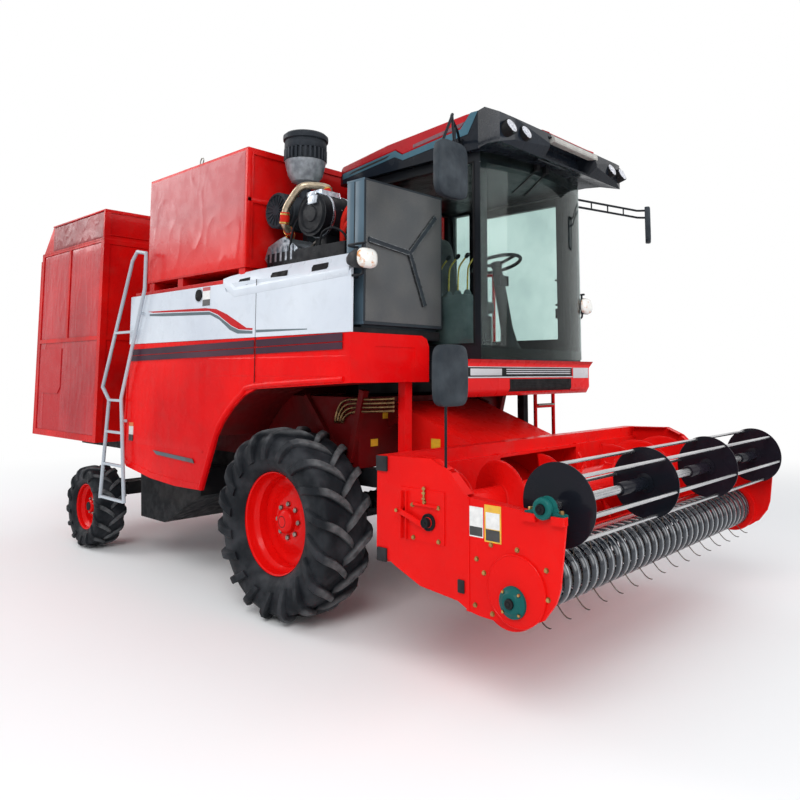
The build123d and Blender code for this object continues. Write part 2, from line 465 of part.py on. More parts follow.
gate = box(BIN_X0 - 6 - GATE_T, BIN_X0 - 6, -BIN_HALF, BIN_HALF, BIN_FLOOR, GATE_Z - 30)
for y0, y1 in GATE_CUTS:
    gate += rod_y(GATE_X, y0, y1, GATE_Z, GATE_TUBE_R)
    gate += box(GATE_X - 6, GATE_X + 12, y0, y1, GATE_Z - 35, GATE_Z)
for y0, y1 in ((-BIN_HALF + 50, -25), (25, BIN_HALF - 50)):
    for z0, z1 in ((BIN_FLOOR + 50, BIN_MID - rail), (BIN_MID + rail, GATE_Z - 90)):
        gate -= box(BIN_X0 - 40, BIN_X0 - 20, y0, y1, z0, z1)
gate -= rod_y(GATE_X, -950, 950, GATE_Z, GATE_PIN_R + CLEAR)
save("bin_tailgate", gate)

# ---------------------------------------------------------------- engine bay
floor_x1 = PANEL_X1 - PANEL_T
engine_deck = box(CAB_BAY_X, floor_x1, -panel_back, CAB_Y0 - 14, DECK_Z0, DECK_Z1)
engine_deck += box(CAB_BAY_X, floor_x1, -panel_back, -BODY_HALF, ARCH_Z + 60, DECK_Z0)
save("engine_deck", engine_deck)

engine = box(ENGINE_X0, ENGINE_X1, ENGINE_Y0, ENGINE_Y1, DECK_Z1, ENGINE_TOP)
engine += rod_y(HOUSING_X, ENGINE_Y0 - 10, ENGINE_Y0 + 250, HOUSING_Z, HOUSING_R)
engine += box(HOUSING_X - 60, HOUSING_X + 60, ENGINE_Y0 + 70, ENGINE_Y0 + 210, ENGINE_TOP - 20, HOUSING_Z - 120)
fan_cover = [(ENGINE_X0, 2400), (ENGINE_X0 - 30, 2430), (ENGINE_X0 + 10, 2510), (-133, 2560), (10, 2470), (10, 2400)]
engine += slab_y(fan_cover, ENGINE_Y0 + 20, ENGINE_Y0 + 230)
save("engine", engine)

cowl = box(SCREEN_X0, PANEL_X1, SCREEN_Y0, SCREEN_Y1, SCREEN_Z0, SCREEN_Z1)
cowl += box(SCREEN_X0, PANEL_X1 - 40, SCREEN_Y0 + 20, SCREEN_Y1 - 20, DECK_Z1, SCREEN_Z0)
hub_y, hub_z, stay_x = -720, 2381, PANEL_X1 + 8
for y, z in ((-467, 2660), (-575, 2043), (-1083, 2423)):      # three stays meet on the screen's face
    cowl += bar((stay_x, hub_y, hub_z), (stay_x, y, z), 34, 18, (0, z - hub_z, hub_y - y))
save("radiator_cowl", cowl)

housing_top = HOUSING_Z + HOUSING_R + 0.5
charge_route = [(HOUSING_X, -900, housing_top), (HOUSING_X, -900, 2900), (110, -1070, 2890), (10, -1085, 2800),
                (-50, -1085, 2740), (-70, -1080, 2640), (-190, -930, 2600), (-190, -930, 2553.5)]
save("charge_pipe", pipe(charge_route, CHARGE_R))

# outline of the pre-cleaner: radius and height of stem, bowl and lid
bowl = [(0, 2860), (46, 2860), (46, 2995), (105, 3010), (150, 3130), (160, 3150), (160, 3345), (168, 3350),
        (168, 3371), (0, 3371)]
intake = Pos(PRE_X, PRE_Y, 0) * revolve(make_face(Polyline(*[(r, 0, z) for r, z in bowl], close=True)), Axis.Z)
intake += rod_y(FILTER_X, -1030, -560, FILTER_Z, FILTER_R)
intake += box(FILTER_X - 30, FILTER_X + 30, -760, -640, ENGINE_TOP, FILTER_Z - 60)
save("air_cleaner", intake)


# ---------------------------------------------------------------- cab
def cab_plan(inset):
    """Cab outline seen from above, with the bowed front edge, drawn inside the outer faces by inset."""
    x0, x1 = CAB_X0 + inset, CAB_X1 - inset
    y0, y1 = CAB_Y0 + inset, CAB_Y1 - inset
    back = Polyline((x1, y1), (x0, y1), (x0, y0), (x1, y0))
    front = ThreePointArc((x1, y0), (x1 + CAB_BOW, (y0 + y1) / 2), (x1, y1))
    return make_face(back + front)


shell = Pos(0, 0, CAB_FLOOR) * extrude(cab_plan(0), CAB_CEIL - CAB_FLOOR)
shell -= Pos(0, 0, CAB_FLOOR + CAB_WALL) * extrude(cab_plan(CAB_WALL), CAB_CEIL - CAB_FLOOR - 2 * CAB_WALL)
front_sill = CAB_FLOOR + 60
side_x0, side_x1 = CAB_X0 + 80, CAB_X1 - 60          # right-hand window
rear_y0, rear_y1 = CAB_Y0 + 90, CAB_Y1 - 90          # rear window
post_x0, post_x1 = CAB_X0 + 70, DOOR_X0 - 60         # small window behind the door
shell -= box(CAB_X1 - 40, CAB_X1 + CAB_BOW + 60, CAB_Y0 + PILLAR, CAB_Y1 - PILLAR, front_sill, HEAD_Z)
shell -= box(side_x0, side_x1, CAB_Y0 - 20, CAB_Y0 + 80, SILL_Z, HEAD_Z)
shell -= box(CAB_X0 - 20, CAB_X0 + 80, rear_y0, rear_y1, REAR_SILL_Z, HEAD_Z)
shell -= box(DOOR_X0, DOOR_X1, CAB_Y1 - 80, CAB_Y1 + 20, CAB_FLOOR + 50, HEAD_Z + 5)
shell -= box(post_x0, post_x1, CAB_Y1 - 80, CAB_Y1 + 20, SILL_Z, HEAD_Z)
door_hinges = (CAB_FLOOR + 250, HEAD_Z - 350)        # foot of each door hinge
for z in door_hinges:
    for z0 in (z - 21, z + HINGE_L + 1):
        shell += box(HINGE_X - 32, HINGE_X + 7, CAB_Y1, HINGE_Y + 12, z0, z0 + 20)
    shell += rod((HINGE_X, HINGE_Y, z - 15), (HINGE_X, HINGE_Y, z + HINGE_L + 15), HINGE_PIN_R)
save("cab_shell", shell)

screen = Pos(0, 0, front_sill) * extrude(cab_plan(4) - cab_plan(4 + PANE_T), HEAD_Z - front_sill)
screen &= box(CAB_X1 - 60, CAB_X1 + CAB_BOW, CAB_Y0 + PILLAR + PANE_GAP, CAB_Y1 - PILLAR - PANE_GAP,
              front_sill + PANE_GAP, HEAD_Z - PANE_GAP)
low, high = SILL_Z + PANE_GAP, HEAD_Z - PANE_GAP
save("cab_glass", screen,
     box(side_x0 + PANE_GAP, side_x1 - PANE_GAP, CAB_Y0 + 12, CAB_Y0 + 12 + PANE_T, low, high),
     box(post_x0 + PANE_GAP, post_x1 - PANE_GAP, CAB_Y1 - 12 - PANE_T, CAB_Y1 - 12, low, high),
     box(CAB_X0 + 12, CAB_X0 + 12 + PANE_T, rear_y0 + PANE_GAP, rear_y1 - PANE_GAP, REAR_SILL_Z + PANE_GAP, high))

door = box(DOOR_X0 + 6, DOOR_X1 - 9, CAB_Y1 - DOOR_T, CAB_Y1, CAB_FLOOR + 56, HEAD_Z - 1)
pane_x0, pane_x1 = DOOR_X0 + 6 + DOOR_RAIL, DOOR_X1 - 6 - DOOR_RAIL
pane_z0, pane_z1 = CAB_FLOOR + 180, HEAD_Z - DOOR_RAIL
door -= box(pane_x0, pane_x1, CAB_Y1 - 60, CAB_Y1 + 20, pane_z0, pane_z1)
for z in door_hinges:
    door += box(HINGE_X, HINGE_X + 42, CAB_Y1, HINGE_Y, z, z + HINGE_L)
    door += rod((HINGE_X, HINGE_Y, z), (HINGE_X, HINGE_Y, z + HINGE_L), HINGE_TUBE_R)
    door -= rod((HINGE_X, HINGE_Y, z - 5), (HINGE_X, HINGE_Y, z + HINGE_L + 5), HINGE_PIN_R + CLEAR)
save("cab_door", door)
save("cab_door_glass", box(pane_x0 + PANE_GAP, pane_x1 - PANE_GAP, CAB_Y1 - 24, CAB_Y1 - 24 + PANE_T,
                           pane_z0 + PANE_GAP, pane_z1 - PANE_GAP))

# the roof is a red cap over a dark base whose front is the lamp visor
y_mid = (ROOF_Y0 + ROOF_Y1) / 2
roof_side = [(ROOF_X0, CAB_CEIL), (ROOF_X0 + 20, 3215), (300, 3290), (1050, ROOF_TOP), (1230, ROOF_TOP - 6),
             (1430, 3225), (ROOF_X1, 3120), (1400, 3050), (1260, CAB_CEIL)]
half_plan = [(ROOF_X0, ROOF_Y1 - 30), (ROOF_X0 + 60, ROOF_Y1), (1150, ROOF_Y1), (1400, ROOF_Y1 + VISOR_EAR),
             (1430, ROOF_Y1 - 20), (ROOF_X1, y_mid + 250)]      # left half, from the rear to the front
roof_plan = half_plan + [(x, 2 * y_mid - y) for x, y in reversed(half_plan)]
whole = slab_y(roof_side, ROOF_Y0 - 120, ROOF_Y1 + 120) & slab_z(roof_plan, CAB_CEIL - 50, ROOF_TOP + 20)
parting = [(ROOF_X0 - 20, CAB_CEIL - 60), (ROOF_X0 - 20, 3150), (380, 3225), (450, 3180), (1000, 3240),
           (1120, ROOF_TOP + 30), (ROOF_X1 + 60, ROOF_TOP + 30), (ROOF_X1 + 60, CAB_CEIL - 60)]
base = slab_y(parting, ROOF_Y0 - 200, ROOF_Y1 + 200)
recess = slab_y([(1330, 3170), (1480, 3205), (1520, 3060), (1330, 3060)], y_mid - 330, y_mid + 330)
recess &= slab_z([(1300, y_mid - 260), (1500, y_mid - 330), (1500, y_mid + 330), (1300, y_mid + 260)], 3000, 3300)
visor = whole & base
visor -= recess
for offset in (-LAMP_Y, LAMP_PITCH - LAMP_Y, LAMP_Y - LAMP_PITCH, LAMP_Y):
    visor += Pos(1425, y_mid + offset, 3140) * Rot(0, LAMP_TILT, 0) * Cylinder(LAMP_R, 60)
save("cab_visor", visor)
save("cab_roof", whole - base)

sub = box(CAB_X0, CAB_X1 - 20, CAB_Y0, CAB_Y1, CAB_SUB_Z, CAB_FLOOR)
sub += box(CAB_X0, CAB_X0 + 150, CAB_Y0, BODY_HALF - 20, CAB_BAY_Z, CAB_SUB_Z)
save("cab_base", sub)
FASCIA_X, FASCIA_Z = 1177, 1453
fascia = [(CAB_X1 - 20, FASCIA_Z), (FASCIA_X - 27, FASCIA_Z), (FASCIA_X, 1500), (FASCIA_X, 1640),
          (CAB_X1 + 96, CAB_FLOOR), (CAB_X1 - 20, CAB_FLOOR)]
save("cab_fascia", slab_y(fascia, -600, CAB_Y1 + 25))

# ---------------------------------------------------------------- driver's place
inside_floor = CAB_FLOOR + CAB_WALL
SEAT_X0, SEAT_Y0, SEAT_Y1, SEAT_Z = 150, 20, 500, 2060
save("seat_base", box(SEAT_X0, SEAT_X0 + 410, SEAT_Y0, SEAT_Y1, inside_floor, SEAT_Z))
cushion = box(SEAT_X0, SEAT_X0 + 470, SEAT_Y0 - 10, SEAT_Y1 + 10, SEAT_Z, SEAT_Z + 110)
backrest = slab_y([(SEAT_X0, SEAT_Z + 100), (SEAT_X0 + 90, SEAT_Z + 100), (SEAT_X0, 2720), (SEAT_X0 - 90, 2720)],
                  SEAT_Y0, SEAT_Y1)
save("seat_pads", cushion + backrest)
WHEEL_X, WHEEL_Y, WHEEL_Z, WHEEL_R, WHEEL_TILT = 775, 260, 2424, 202, 15      # steering wheel
hand_wheel = turned_y([(WHEEL_R - 22, -12), (WHEEL_R, -12), (WHEEL_R, 12), (WHEEL_R - 22, 12)])
spoke = 2 * WHEEL_R - 32
hand_wheel += Box(spoke, 14, 30) + Box(30, 14, spoke) + Rot(90, 0, 0) * Cylinder(45, 26)
column = box(850, 950, WHEEL_Y - 50, WHEEL_Y + 50, inside_floor, inside_floor + 25)
column += rod((900, WHEEL_Y, inside_floor + 20), (WHEEL_X + 1, WHEEL_Y, WHEEL_Z), 35)
column += Pos(WHEEL_X, WHEEL_Y, WHEEL_Z) * Rot(0, -WHEEL_TILT, 0) * Rot(90, 0, 0) * hand_wheel
save("steering_column", column)
LEVERS, LEVER_PITCH = 5, 90
console = box(250, 950, CAB_Y0 + 60, CAB_Y0 + 250, inside_floor, 2150)
for k in range(LEVERS):
    x = 520 + LEVER_PITCH * k
    console += rod((x, -240, 2140), (x + 20, -240, 2420), 8)
save("console", console)

# ---------------------------------------------------------------- steps, mirrors and lamps
steps = box(SEAM_X + 1, floor_x1, CAB_Y1 + 6, PANEL_Y, step_z, CAB_FLOOR)
steps += box(floor_x1, STEP_X + 20, CAB_Y1 + 6, STEP_Y1 + 16, step_z, CAB_FLOOR)
for y, top in ((STEP_Y0, CAB_SUB_Z - 0.5), (STEP_Y1, step_z)):
    steps += rod((STEP_X, y, top), (STEP_X, y, STEP_LOW - 20), 15)
for k in range(STEPS):
    steps += rod_y(STEP_X, STEP_Y0, STEP_Y1, STEP_LOW + k * STEP_PITCH, 13)
rail_y = PANEL_Y - 30                    # grab rail beside the cab door
grab = [(-160, rail_y, CAB_FLOOR - 5), (-160, rail_y, 2500), (60, rail_y, 2500), (60, rail_y, CAB_FLOOR - 5)]
steps += pipe(grab, 15)
save("cab_steps", steps)

mirrors = box(1225, 1280, -975, -680, 2650, 3050)
mirrors += box(980, 1020, ROOF_Y0 - 12, ROOF_Y0, 3130, 3170)
mirrors += pipe([(1000, ROOF_Y0 - 8, 3150), (1250, -830, 3150), (1250, -830, 3040)], 10)
arm_x, arm_y, tip_x, tip_y = 1060, CAB_Y1 + 10, 1250, 1640
left_mirror = Pos(tip_x + 100, tip_y + 20, 2870) * Rot(0, 0, 25) * Box(50, 190, 330)
left_mirror += box(arm_x - 20, arm_x + 20, CAB_Y1, CAB_Y1 + 16, 2885, 3015)
for z in (2900, 3000):
    left_mirror += pipe([(arm_x, arm_y, z), (tip_x, tip_y, z), (tip_x + 100, tip_y + 20, z - 10)], 9)
for t in (0.3, 0.55, 0.8):               # rungs between the two tubes of the arm
    x, y = arm_x + t * (tip_x - arm_x), arm_y + t * (tip_y - arm_y)
    left_mirror += rod((x, y, 2900), (x, y, 3000), 7)
save("cab_mirrors", mirrors, left_mirror)

lamps = []
# x, y, z of each head lamp, then the y of the wall and the x where its tube starts
for x, y, z, wall, back in ((880, -1200, 2280, SCREEN_Y0 - 0.5, 740), (1100, 965, 2130, CAB_Y1 + 0.5, 1000)):
    lamp = Pos(x, y, z) * Rot(0, 90, 0) * Cone(60, 75, 120)
    lamp += pipe([(back, wall, z), (back, y, z), (x - 40, y, z)], 10)
    lamps.append(lamp)
save("headlamps", *lamps)

LADDER_Y, LADDER_R = -PANEL_Y - 40, 15   # right-hand ladder, one tube bent up, over and down
ladder_line = [(-2391, 525), (-2300, 1370), (-2435, 1480), (-1960, 2560), (-1880, 2630), (-1722, 2600),
               (-1722, 2300), (-2068, 1391), (-1941, 530)]
ladder = pipe([(x, LADDER_Y, z) for x, z in ladder_line], LADDER_R)
# z of each rung and the x of its two ends
rungs = [(540, -2389, -1942), (825, -2358, -1985), (1100, -2328, -2025), (1370, -2300, -2065),
         (1950, -2228, -1855)]
for z, x0, x1 in rungs:
    ladder += box(x0, x1, LADDER_Y - 12, LADDER_Y + 12, z - 10, z + 10)
for x, z in ((-2041, 1200), (-1800, 2100)):
    ladder += box(x - 11, x + 11, LADDER_Y - 6, -PANEL_Y, z - 12, z + 12)
save("side_ladder", ladder)

chute = [(-2215, RAIL_Z0), (-2170, 361), (-1760, 361), (-1200, 640), (-1200, RAIL_Z0)]
save("cleaning_chute", slab_y(chute, -990, -420))

# ---------------------------------------------------------------- header side plates
nose = [(1596, HEAD_Z1 + 9), (1713, 1133), (1824, 1026), (NOSE_X, NOSE_Z), (2321, 705), (2300, 640), (2240, 560),
        (2126, 500), (1896, 504), (1836, 512), (1764, 545), (1526, 566), (1351, 633)]
plate_outline = [(HEAD_X0, HEAD_Z0 + 60), (HEAD_X0, HEAD_Z1)] + nose
face_y, inside = -HEADER_HALF, HEADER_HALF - PLATE_T
plates = slab_y(plate_outline, face_y, -inside)
plates += box(1389, 1687, face_y - 6, face_y + 1, 781, 1031)               # auger tensioner plate
plates += rod_y(2100, face_y - 10, face_y + 1, 655, 155)                   # cover of the drum's bearing
plates += slab_y([(1820, 1026), (1838, 1020), (1838, 512), (1820, 514)], face_y - 4, face_y + 1)
# x, z, outer radius, reach outwards and bore of each bearing
bearings = [(REEL_X, REEL_Z, 45, 26, REEL_SHAFT_R), (TINE_X, TINE_Z, 48, 26, TINE_SHAFT_R),
            (AUGER_X, AUGER_Z, 40, 14, AUGER_SHAFT_R)]
for x, z, boss_r, reach, bore in bearings:
    plates += rod_y(x, face_y - reach, -inside + 12, z, boss_r)
    plates -= rod_y(x, face_y - reach - 5, -inside + 20, z, bore + CLEAR)
for x0, x1 in ((REEL_X - 110, REEL_X - 40), (REEL_X + 40, REEL_X + 100)):   # seat of the reel's bearing
    plates += box(x0, x1, face_y - 20, -inside + 8, 965, 1000)
save("header_side_plates", on_both_sides(plates))

# ---------------------------------------------------------------- header trough
arc_in = AUGER_R + TROUGH_GAP
arc_out = arc_in + SHEET
trough = box(BACK_X - SHEET, BACK_X, -inside, inside, AUGER_Z, HEAD_Z1 - TUBE)
ring = turned_y([(arc_in, -inside), (arc_out, -inside), (arc_out, inside), (arc_in, inside)], AUGER_X, 0, AUGER_Z)
behind = box(AUGER_X - 400, AUGER_X, -inside, inside, AUGER_Z - 400, AUGER_Z)
below = slab_y([(AUGER_X, AUGER_Z), (AUGER_X + 400, AUGER_Z - 400), (AUGER_X, AUGER_Z - 400)], -inside, inside)
trough += ring & (behind + below)
lip_x, lip_z = AUGER_X + arc_in * sin(radians(45)), AUGER_Z - arc_in * cos(radians(45))
floor = [(lip_x - 4, lip_z + 1), (PICK_X - PICK_R - 8, 760), (PICK_X - PICK_R - 2, 748), (lip_x + 4, lip_z - 8)]
trough += slab_y(floor, -inside, inside)
trough -= box(BACK_X - 60, BACK_X + 60, -FEED_HALF, FEED_HALF, 725, 1085)
trough += box(HEAD_X0, HEAD_X0 + TUBE, -inside, inside, HEAD_Z1 - TUBE, HEAD_Z1)
trough += box(HEAD_X0 + TUBE, BACK_X, -inside, inside, HEAD_Z1 - TUBE, HEAD_Z1 - TUBE + SHEET)
trough += box(HEAD_X0 + 10, HEAD_X0 + TUBE, -inside, inside, HEAD_Z0, HEAD_Z0 + 70)
under = [(HEAD_X0 + TUBE, HEAD_Z0 + 10), (1500, 615), (1500, 628), (HEAD_X0 + TUBE, HEAD_Z0 + 30)]
trough += slab_y(under, -inside, inside)
save("header_trough", trough)

MIRROR_X, post_y = 1676, -inside + 8     # mirror on a post, to watch the drum
look = Pos(MIRROR_X, -HEADER_HALF + 59, 1592) * Box(56, 230, 310)
look += rod((MIRROR_X, post_y, 1120), (MIRROR_X, post_y, 1500), 7)
look += box(MIRROR_X - 16, MIRROR_X + 16, -inside, -inside + 16, 1070, 1130)
save("header_mirror", look)

# ---------------------------------------------------------------- pick-up drum: bands and tine rotor
pitch = 2 * inside / BANDS
bands = box(PICK_X - PICK_R - 26, PICK_X - PICK_R + 2, -inside, inside, PICK_Z - 20, PICK_Z + 20)
for k in range(BANDS):
    y0 = -inside + (k + 0.5) * pitch - BAND_W / 2
    y1 = y0 + BAND_W
    bands += turned_y([(PICK_R - BAND_T, y0), (PICK_R, y0), (PICK_R, y1), (PICK_R - BAND_T, y1)], PICK_X, 0, PICK_Z)
save("stripper_bands", bands)

tine = [(TINE_BAR_R + 2, -3), (120, -3), (TINE_TIP, 22), (TINE_TIP - 4, 27), (118, 3), (TINE_BAR_R + 2, 3)]
rotor = rod_y(TINE_X, -HEADER_HALF - 20, HEADER_HALF + 20, TINE_Z, TINE_SHAFT_R)
for bank in range(TINE_BANKS):
    spin = Pos(TINE_X, 0, TINE_Z) * Rot(0, TINE_PHASE + bank * 360 / TINE_BANKS, 0)
    rotor += spin * Pos(TINE_BAR_R, 0, 0) * Box(TINE_BAR, 2 * inside - 60, TINE_BAR)
    for y in (-inside + 40, 0, inside - 40):
        rotor += spin * Pos(TINE_BAR_R / 2, y, 0) * Box(TINE_BAR_R + TINE_BAR, 10, 24)
    for k in range(bank % 2 + 1, BANDS, 2):          # tines stand in every second gap between the bands
        y = -inside + k * pitch
        rotor += spin * slab_y(tine, y - TINE_T / 2, y + TINE_T / 2)
save("tine_rotor", rotor)

# ---------------------------------------------------------------- reel
reel_half = inside - 96
disc_ys = [-reel_half + k * 2 * reel_half / (REEL_DISCS - 1) for k in range(REEL_DISCS)]
reel = rod_y(REEL_X, -HEADER_HALF - 20, HEADER_HALF + 20, REEL_Z, REEL_SHAFT_R)
for y in disc_ys:
    reel += rod_y(REEL_X, y - DISC_T / 2, y + DISC_T / 2, REEL_Z, REEL_R)
for y in disc_ys[1:]:                    # sleeves that clamp the discs on the shaft
    reel += rod_y(REEL_X, y - SLEEVE_L, y, REEL_Z, SLEEVE_R)
for k in range(REEL_RODS):
    a = radians(k * 360 / REEL_RODS + 10)
    x, z = REEL_X + (REEL_R - 2 * REEL_ROD_R) * cos(a), REEL_Z + (REEL_R - 2 * REEL_ROD_R) * sin(a)
    reel += rod_y(x, -reel_half, reel_half, z, REEL_ROD_R)
save("reel", reel)

# ---------------------------------------------------------------- auger
core = rod_y(AUGER_X, -inside + 18, inside - 18, AUGER_Z, AUGER_CORE)
core += rod_y(AUGER_X, -HEADER_HALF - 20, HEADER_HALF + 20, AUGER_Z, AUGER_SHAFT_R)
flight_half = inside - 40                # each hand of the flight runs from a side plate to the feeder's mouth
turns = (flight_half - FEED_HALF + 60) / FLIGHT_PITCH
for hand in (1, -1):
    path = Helix(FLIGHT_PITCH, turns * FLIGHT_PITCH, (AUGER_CORE + AUGER_R) / 2 - 2, lefthand=hand < 0)
    across = Plane(origin=path @ 0, z_dir=path % 0, x_dir=(1, 0, 0))
    flight = sweep(across * Rectangle(AUGER_R - AUGER_CORE + 4, FLIGHT_T), path=path, is_frenet=True)
    core += Pos(AUGER_X, hand * flight_half, AUGER_Z) * Rot(90 * hand, 0, 0) * flight
finger = rod((AUGER_CORE - 10, 0, 0), (AUGER_R - 20, 0, 0), FINGER_R)
for k in range(FINGERS):                 # retracting fingers that feed the crop back
    y = -FEED_HALF + 100 + k * (2 * FEED_HALF - 200) / (FINGERS - 1)
    for turn in (0, 180):
        core += Pos(AUGER_X, y, AUGER_Z) * Rot(0, turn + 60 * k, 0) * finger
save("auger", core)

# ---------------------------------------------------------------- feeder house
outer = [(HEAD_X0 - 0.5, FEED_Z0), (HEAD_X0 - 0.5, FEED_Z1), (430, 1400), (600, 1010)]
inner = [(HEAD_X0 + 10, FEED_Z0 + FEED_WALL), (HEAD_X0 + 10, FEED_Z1 - FEED_WALL), (600, 1325), (640, 1025)]
feeder = slab_y(outer, -FEED_HALF - FEED_WALL, FEED_HALF + FEED_WALL)
feeder -= slab_y(inner, -FEED_HALF, FEED_HALF)
feeder -= rod_y(PIVOT_X, -700, 700, PIVOT_Z, PIVOT_R + CLEAR)
eye_x, eye_z = RAM_EYE
lug = [(eye_x - 40, eye_z - 30), (eye_x + 40, eye_z - 30), (eye_x + 60, eye_z + 60), (eye_x - 60, eye_z + 60)]
for side in (-1, 1):                     # lugs for the eyes of the lift rams
    for dy in (-LUG_IN - LUG_T, LUG_IN):
        feeder += slab_y(lug, side * RAM_Y + dy, side * RAM_Y + dy + LUG_T)
    reach = out_from(side, FEED_HALF + FEED_WALL - 5, RAM_Y + LUG_IN + LUG_T)
    feeder += box(eye_x - 60, eye_x + 60, *reach, eye_z + 55, eye_z + 80)
save("feeder_house", feeder)


# ---------------------------------------------------------------- rams
def ram(base, eye, body_r, rod_r, body_l, rod_l, place):
    """Barrel and rod between two points of a plane; place maps (a, b, offset) to a point."""
    length = hypot(eye[0] - base[0], eye[1] - base[1])
    a, b = (eye[0] - base[0]) / length, (eye[1] - base[1]) / length

    def at(along, aside=0):
        return place(base[0] + a * along, base[1] + b * along, aside)

    barrel = rod(at(34), at(body_l), body_r) + rod(at(20), at(36), 19)
    barrel -= rod(at(60), at(body_l + 5), rod_r + CLEAR)
    barrel += rod(at(0, -18), at(0, 18), 2 * RAM_PIN_R)
    barrel -= rod(at(0, -20), at(0, 20), RAM_PIN_R + CLEAR)
    plunger = rod(at(length - rod_l), at(length - 62), rod_r) + rod(at(length - 64), at(length - 26), 13)
    plunger += rod(at(length, -14), at(length, 14), RAM_EYE_BORE + 10)
    plunger -= rod(at(length, -20), at(length, 20), RAM_EYE_BORE)
    return barrel, plunger


lift_pairs = []
for side in (-1, 1):
    def beside(x, z, aside, middle=side * RAM_Y):
        return (x, middle + aside, z)

    lift_pairs.append(ram(RAM_BASE, RAM_EYE, RAM_R, RAM_ROD_R, RAM_BODY_L, RAM_ROD_L, beside))
save("lift_barrels", *[barrel for barrel, plunger in lift_pairs])
save("lift_rods", *[plunger for barrel, plunger in lift_pairs])


def under_tank(y, z, aside):
    return (TIP_RAM_X + aside, y, z)


tank_barrel, tank_rod = ram(TIP_RAM_BASE, TIP_RAM_EYE, TIP_RAM_R, TIP_ROD_R, TIP_BODY_L, TIP_ROD_L, under_tank)
save("tank_barrel", tank_barrel)
save("tank_rod", tank_rod)
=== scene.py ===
"""Looks of a self-propelled pick-up combine harvester, dressed on its packed construction model.

Metres, +X forward, +Y to the machine's left, +Z up, origin on the ground between the drive wheels.
The sections follow the machine as it is put together: stage, paints, wheels, running gear, body,
tank and bin, engine bay, cab, ladders and mirrors, header.
"""
import json
import math

import bmesh
import bpy
from mathutils import Matrix, Vector, noise

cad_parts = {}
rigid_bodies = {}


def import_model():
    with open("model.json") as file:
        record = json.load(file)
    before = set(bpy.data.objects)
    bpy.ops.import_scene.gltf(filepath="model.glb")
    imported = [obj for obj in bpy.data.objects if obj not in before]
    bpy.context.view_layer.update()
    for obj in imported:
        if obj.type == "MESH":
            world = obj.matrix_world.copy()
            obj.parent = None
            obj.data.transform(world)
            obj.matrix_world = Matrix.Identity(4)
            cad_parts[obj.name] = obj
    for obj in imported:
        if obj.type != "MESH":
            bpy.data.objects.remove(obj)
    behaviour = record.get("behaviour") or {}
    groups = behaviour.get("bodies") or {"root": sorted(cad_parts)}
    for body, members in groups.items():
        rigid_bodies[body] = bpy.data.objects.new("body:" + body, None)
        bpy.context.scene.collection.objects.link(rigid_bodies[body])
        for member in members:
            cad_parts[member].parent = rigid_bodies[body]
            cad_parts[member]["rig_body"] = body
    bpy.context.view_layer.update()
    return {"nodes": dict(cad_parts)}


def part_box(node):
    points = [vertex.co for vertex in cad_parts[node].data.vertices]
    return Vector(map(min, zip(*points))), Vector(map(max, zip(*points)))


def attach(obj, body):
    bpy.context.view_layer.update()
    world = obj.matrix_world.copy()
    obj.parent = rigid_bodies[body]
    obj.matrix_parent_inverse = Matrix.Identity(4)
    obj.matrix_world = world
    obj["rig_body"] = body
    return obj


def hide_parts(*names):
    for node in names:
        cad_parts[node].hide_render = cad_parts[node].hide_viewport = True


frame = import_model()
nodes = frame["nodes"]

# ------------------------------------------------------------------ camera
# A three-quarter view from the machine's right front corner, the eye a little above the wheel tops.
# The lens is long enough to keep the header in frame, and the film is shifted to centre the machine.
EYE = Vector((3.972, -4.050, 1.604))
HEADING, TILT = math.radians(131.963), math.radians(5.655)
LENS_MM, SHIFT = 32.06, (-0.0367, -0.122)

look = Vector((math.cos(HEADING) * math.cos(TILT), math.sin(HEADING) * math.cos(TILT), math.sin(TILT)))
camera_data = bpy.data.cameras.new("camera")
camera_data.lens = LENS_MM
camera_data.sensor_width = 36.0
camera_data.shift_x, camera_data.shift_y = SHIFT
camera = bpy.data.objects.new("camera", camera_data)
camera.location = EYE
camera.rotation_euler = look.to_track_quat("-Z", "Y").to_euler()
bpy.context.collection.objects.link(camera)
scene = bpy.context.scene
scene.camera = camera
scene.view_settings.view_transform = "Standard"

# ------------------------------------------------------------------ floor and light
# A plain pale floor that runs out into a white surround. The light is soft: a bright sky for every
# ray, one large lamp high on the camera's side and two panels that draw highlights along the sheets.
FLOOR_HALF = 60.0
FLOOR_CLEAR, FLOOR_GONE = 4.5, 11.0  # from here on outwards the floor melts into the surround
SKY_LIGHT = 0.62
LAMPS = [  # name, place, aimed at, width, height, watts
    ("key", (5.5, -8.0, 8.5), (0.0, 0.0, 1.2), 6.0, 5.0, 620),
    ("front_fill", (9.5, 2.5, 4.5), (1.0, 0.0, 1.2), 5.0, 5.0, 300),
    ("rear_rim", (-9.0, -5.0, 6.5), (-1.5, 0.0, 1.8), 5.0, 5.0, 330),
]

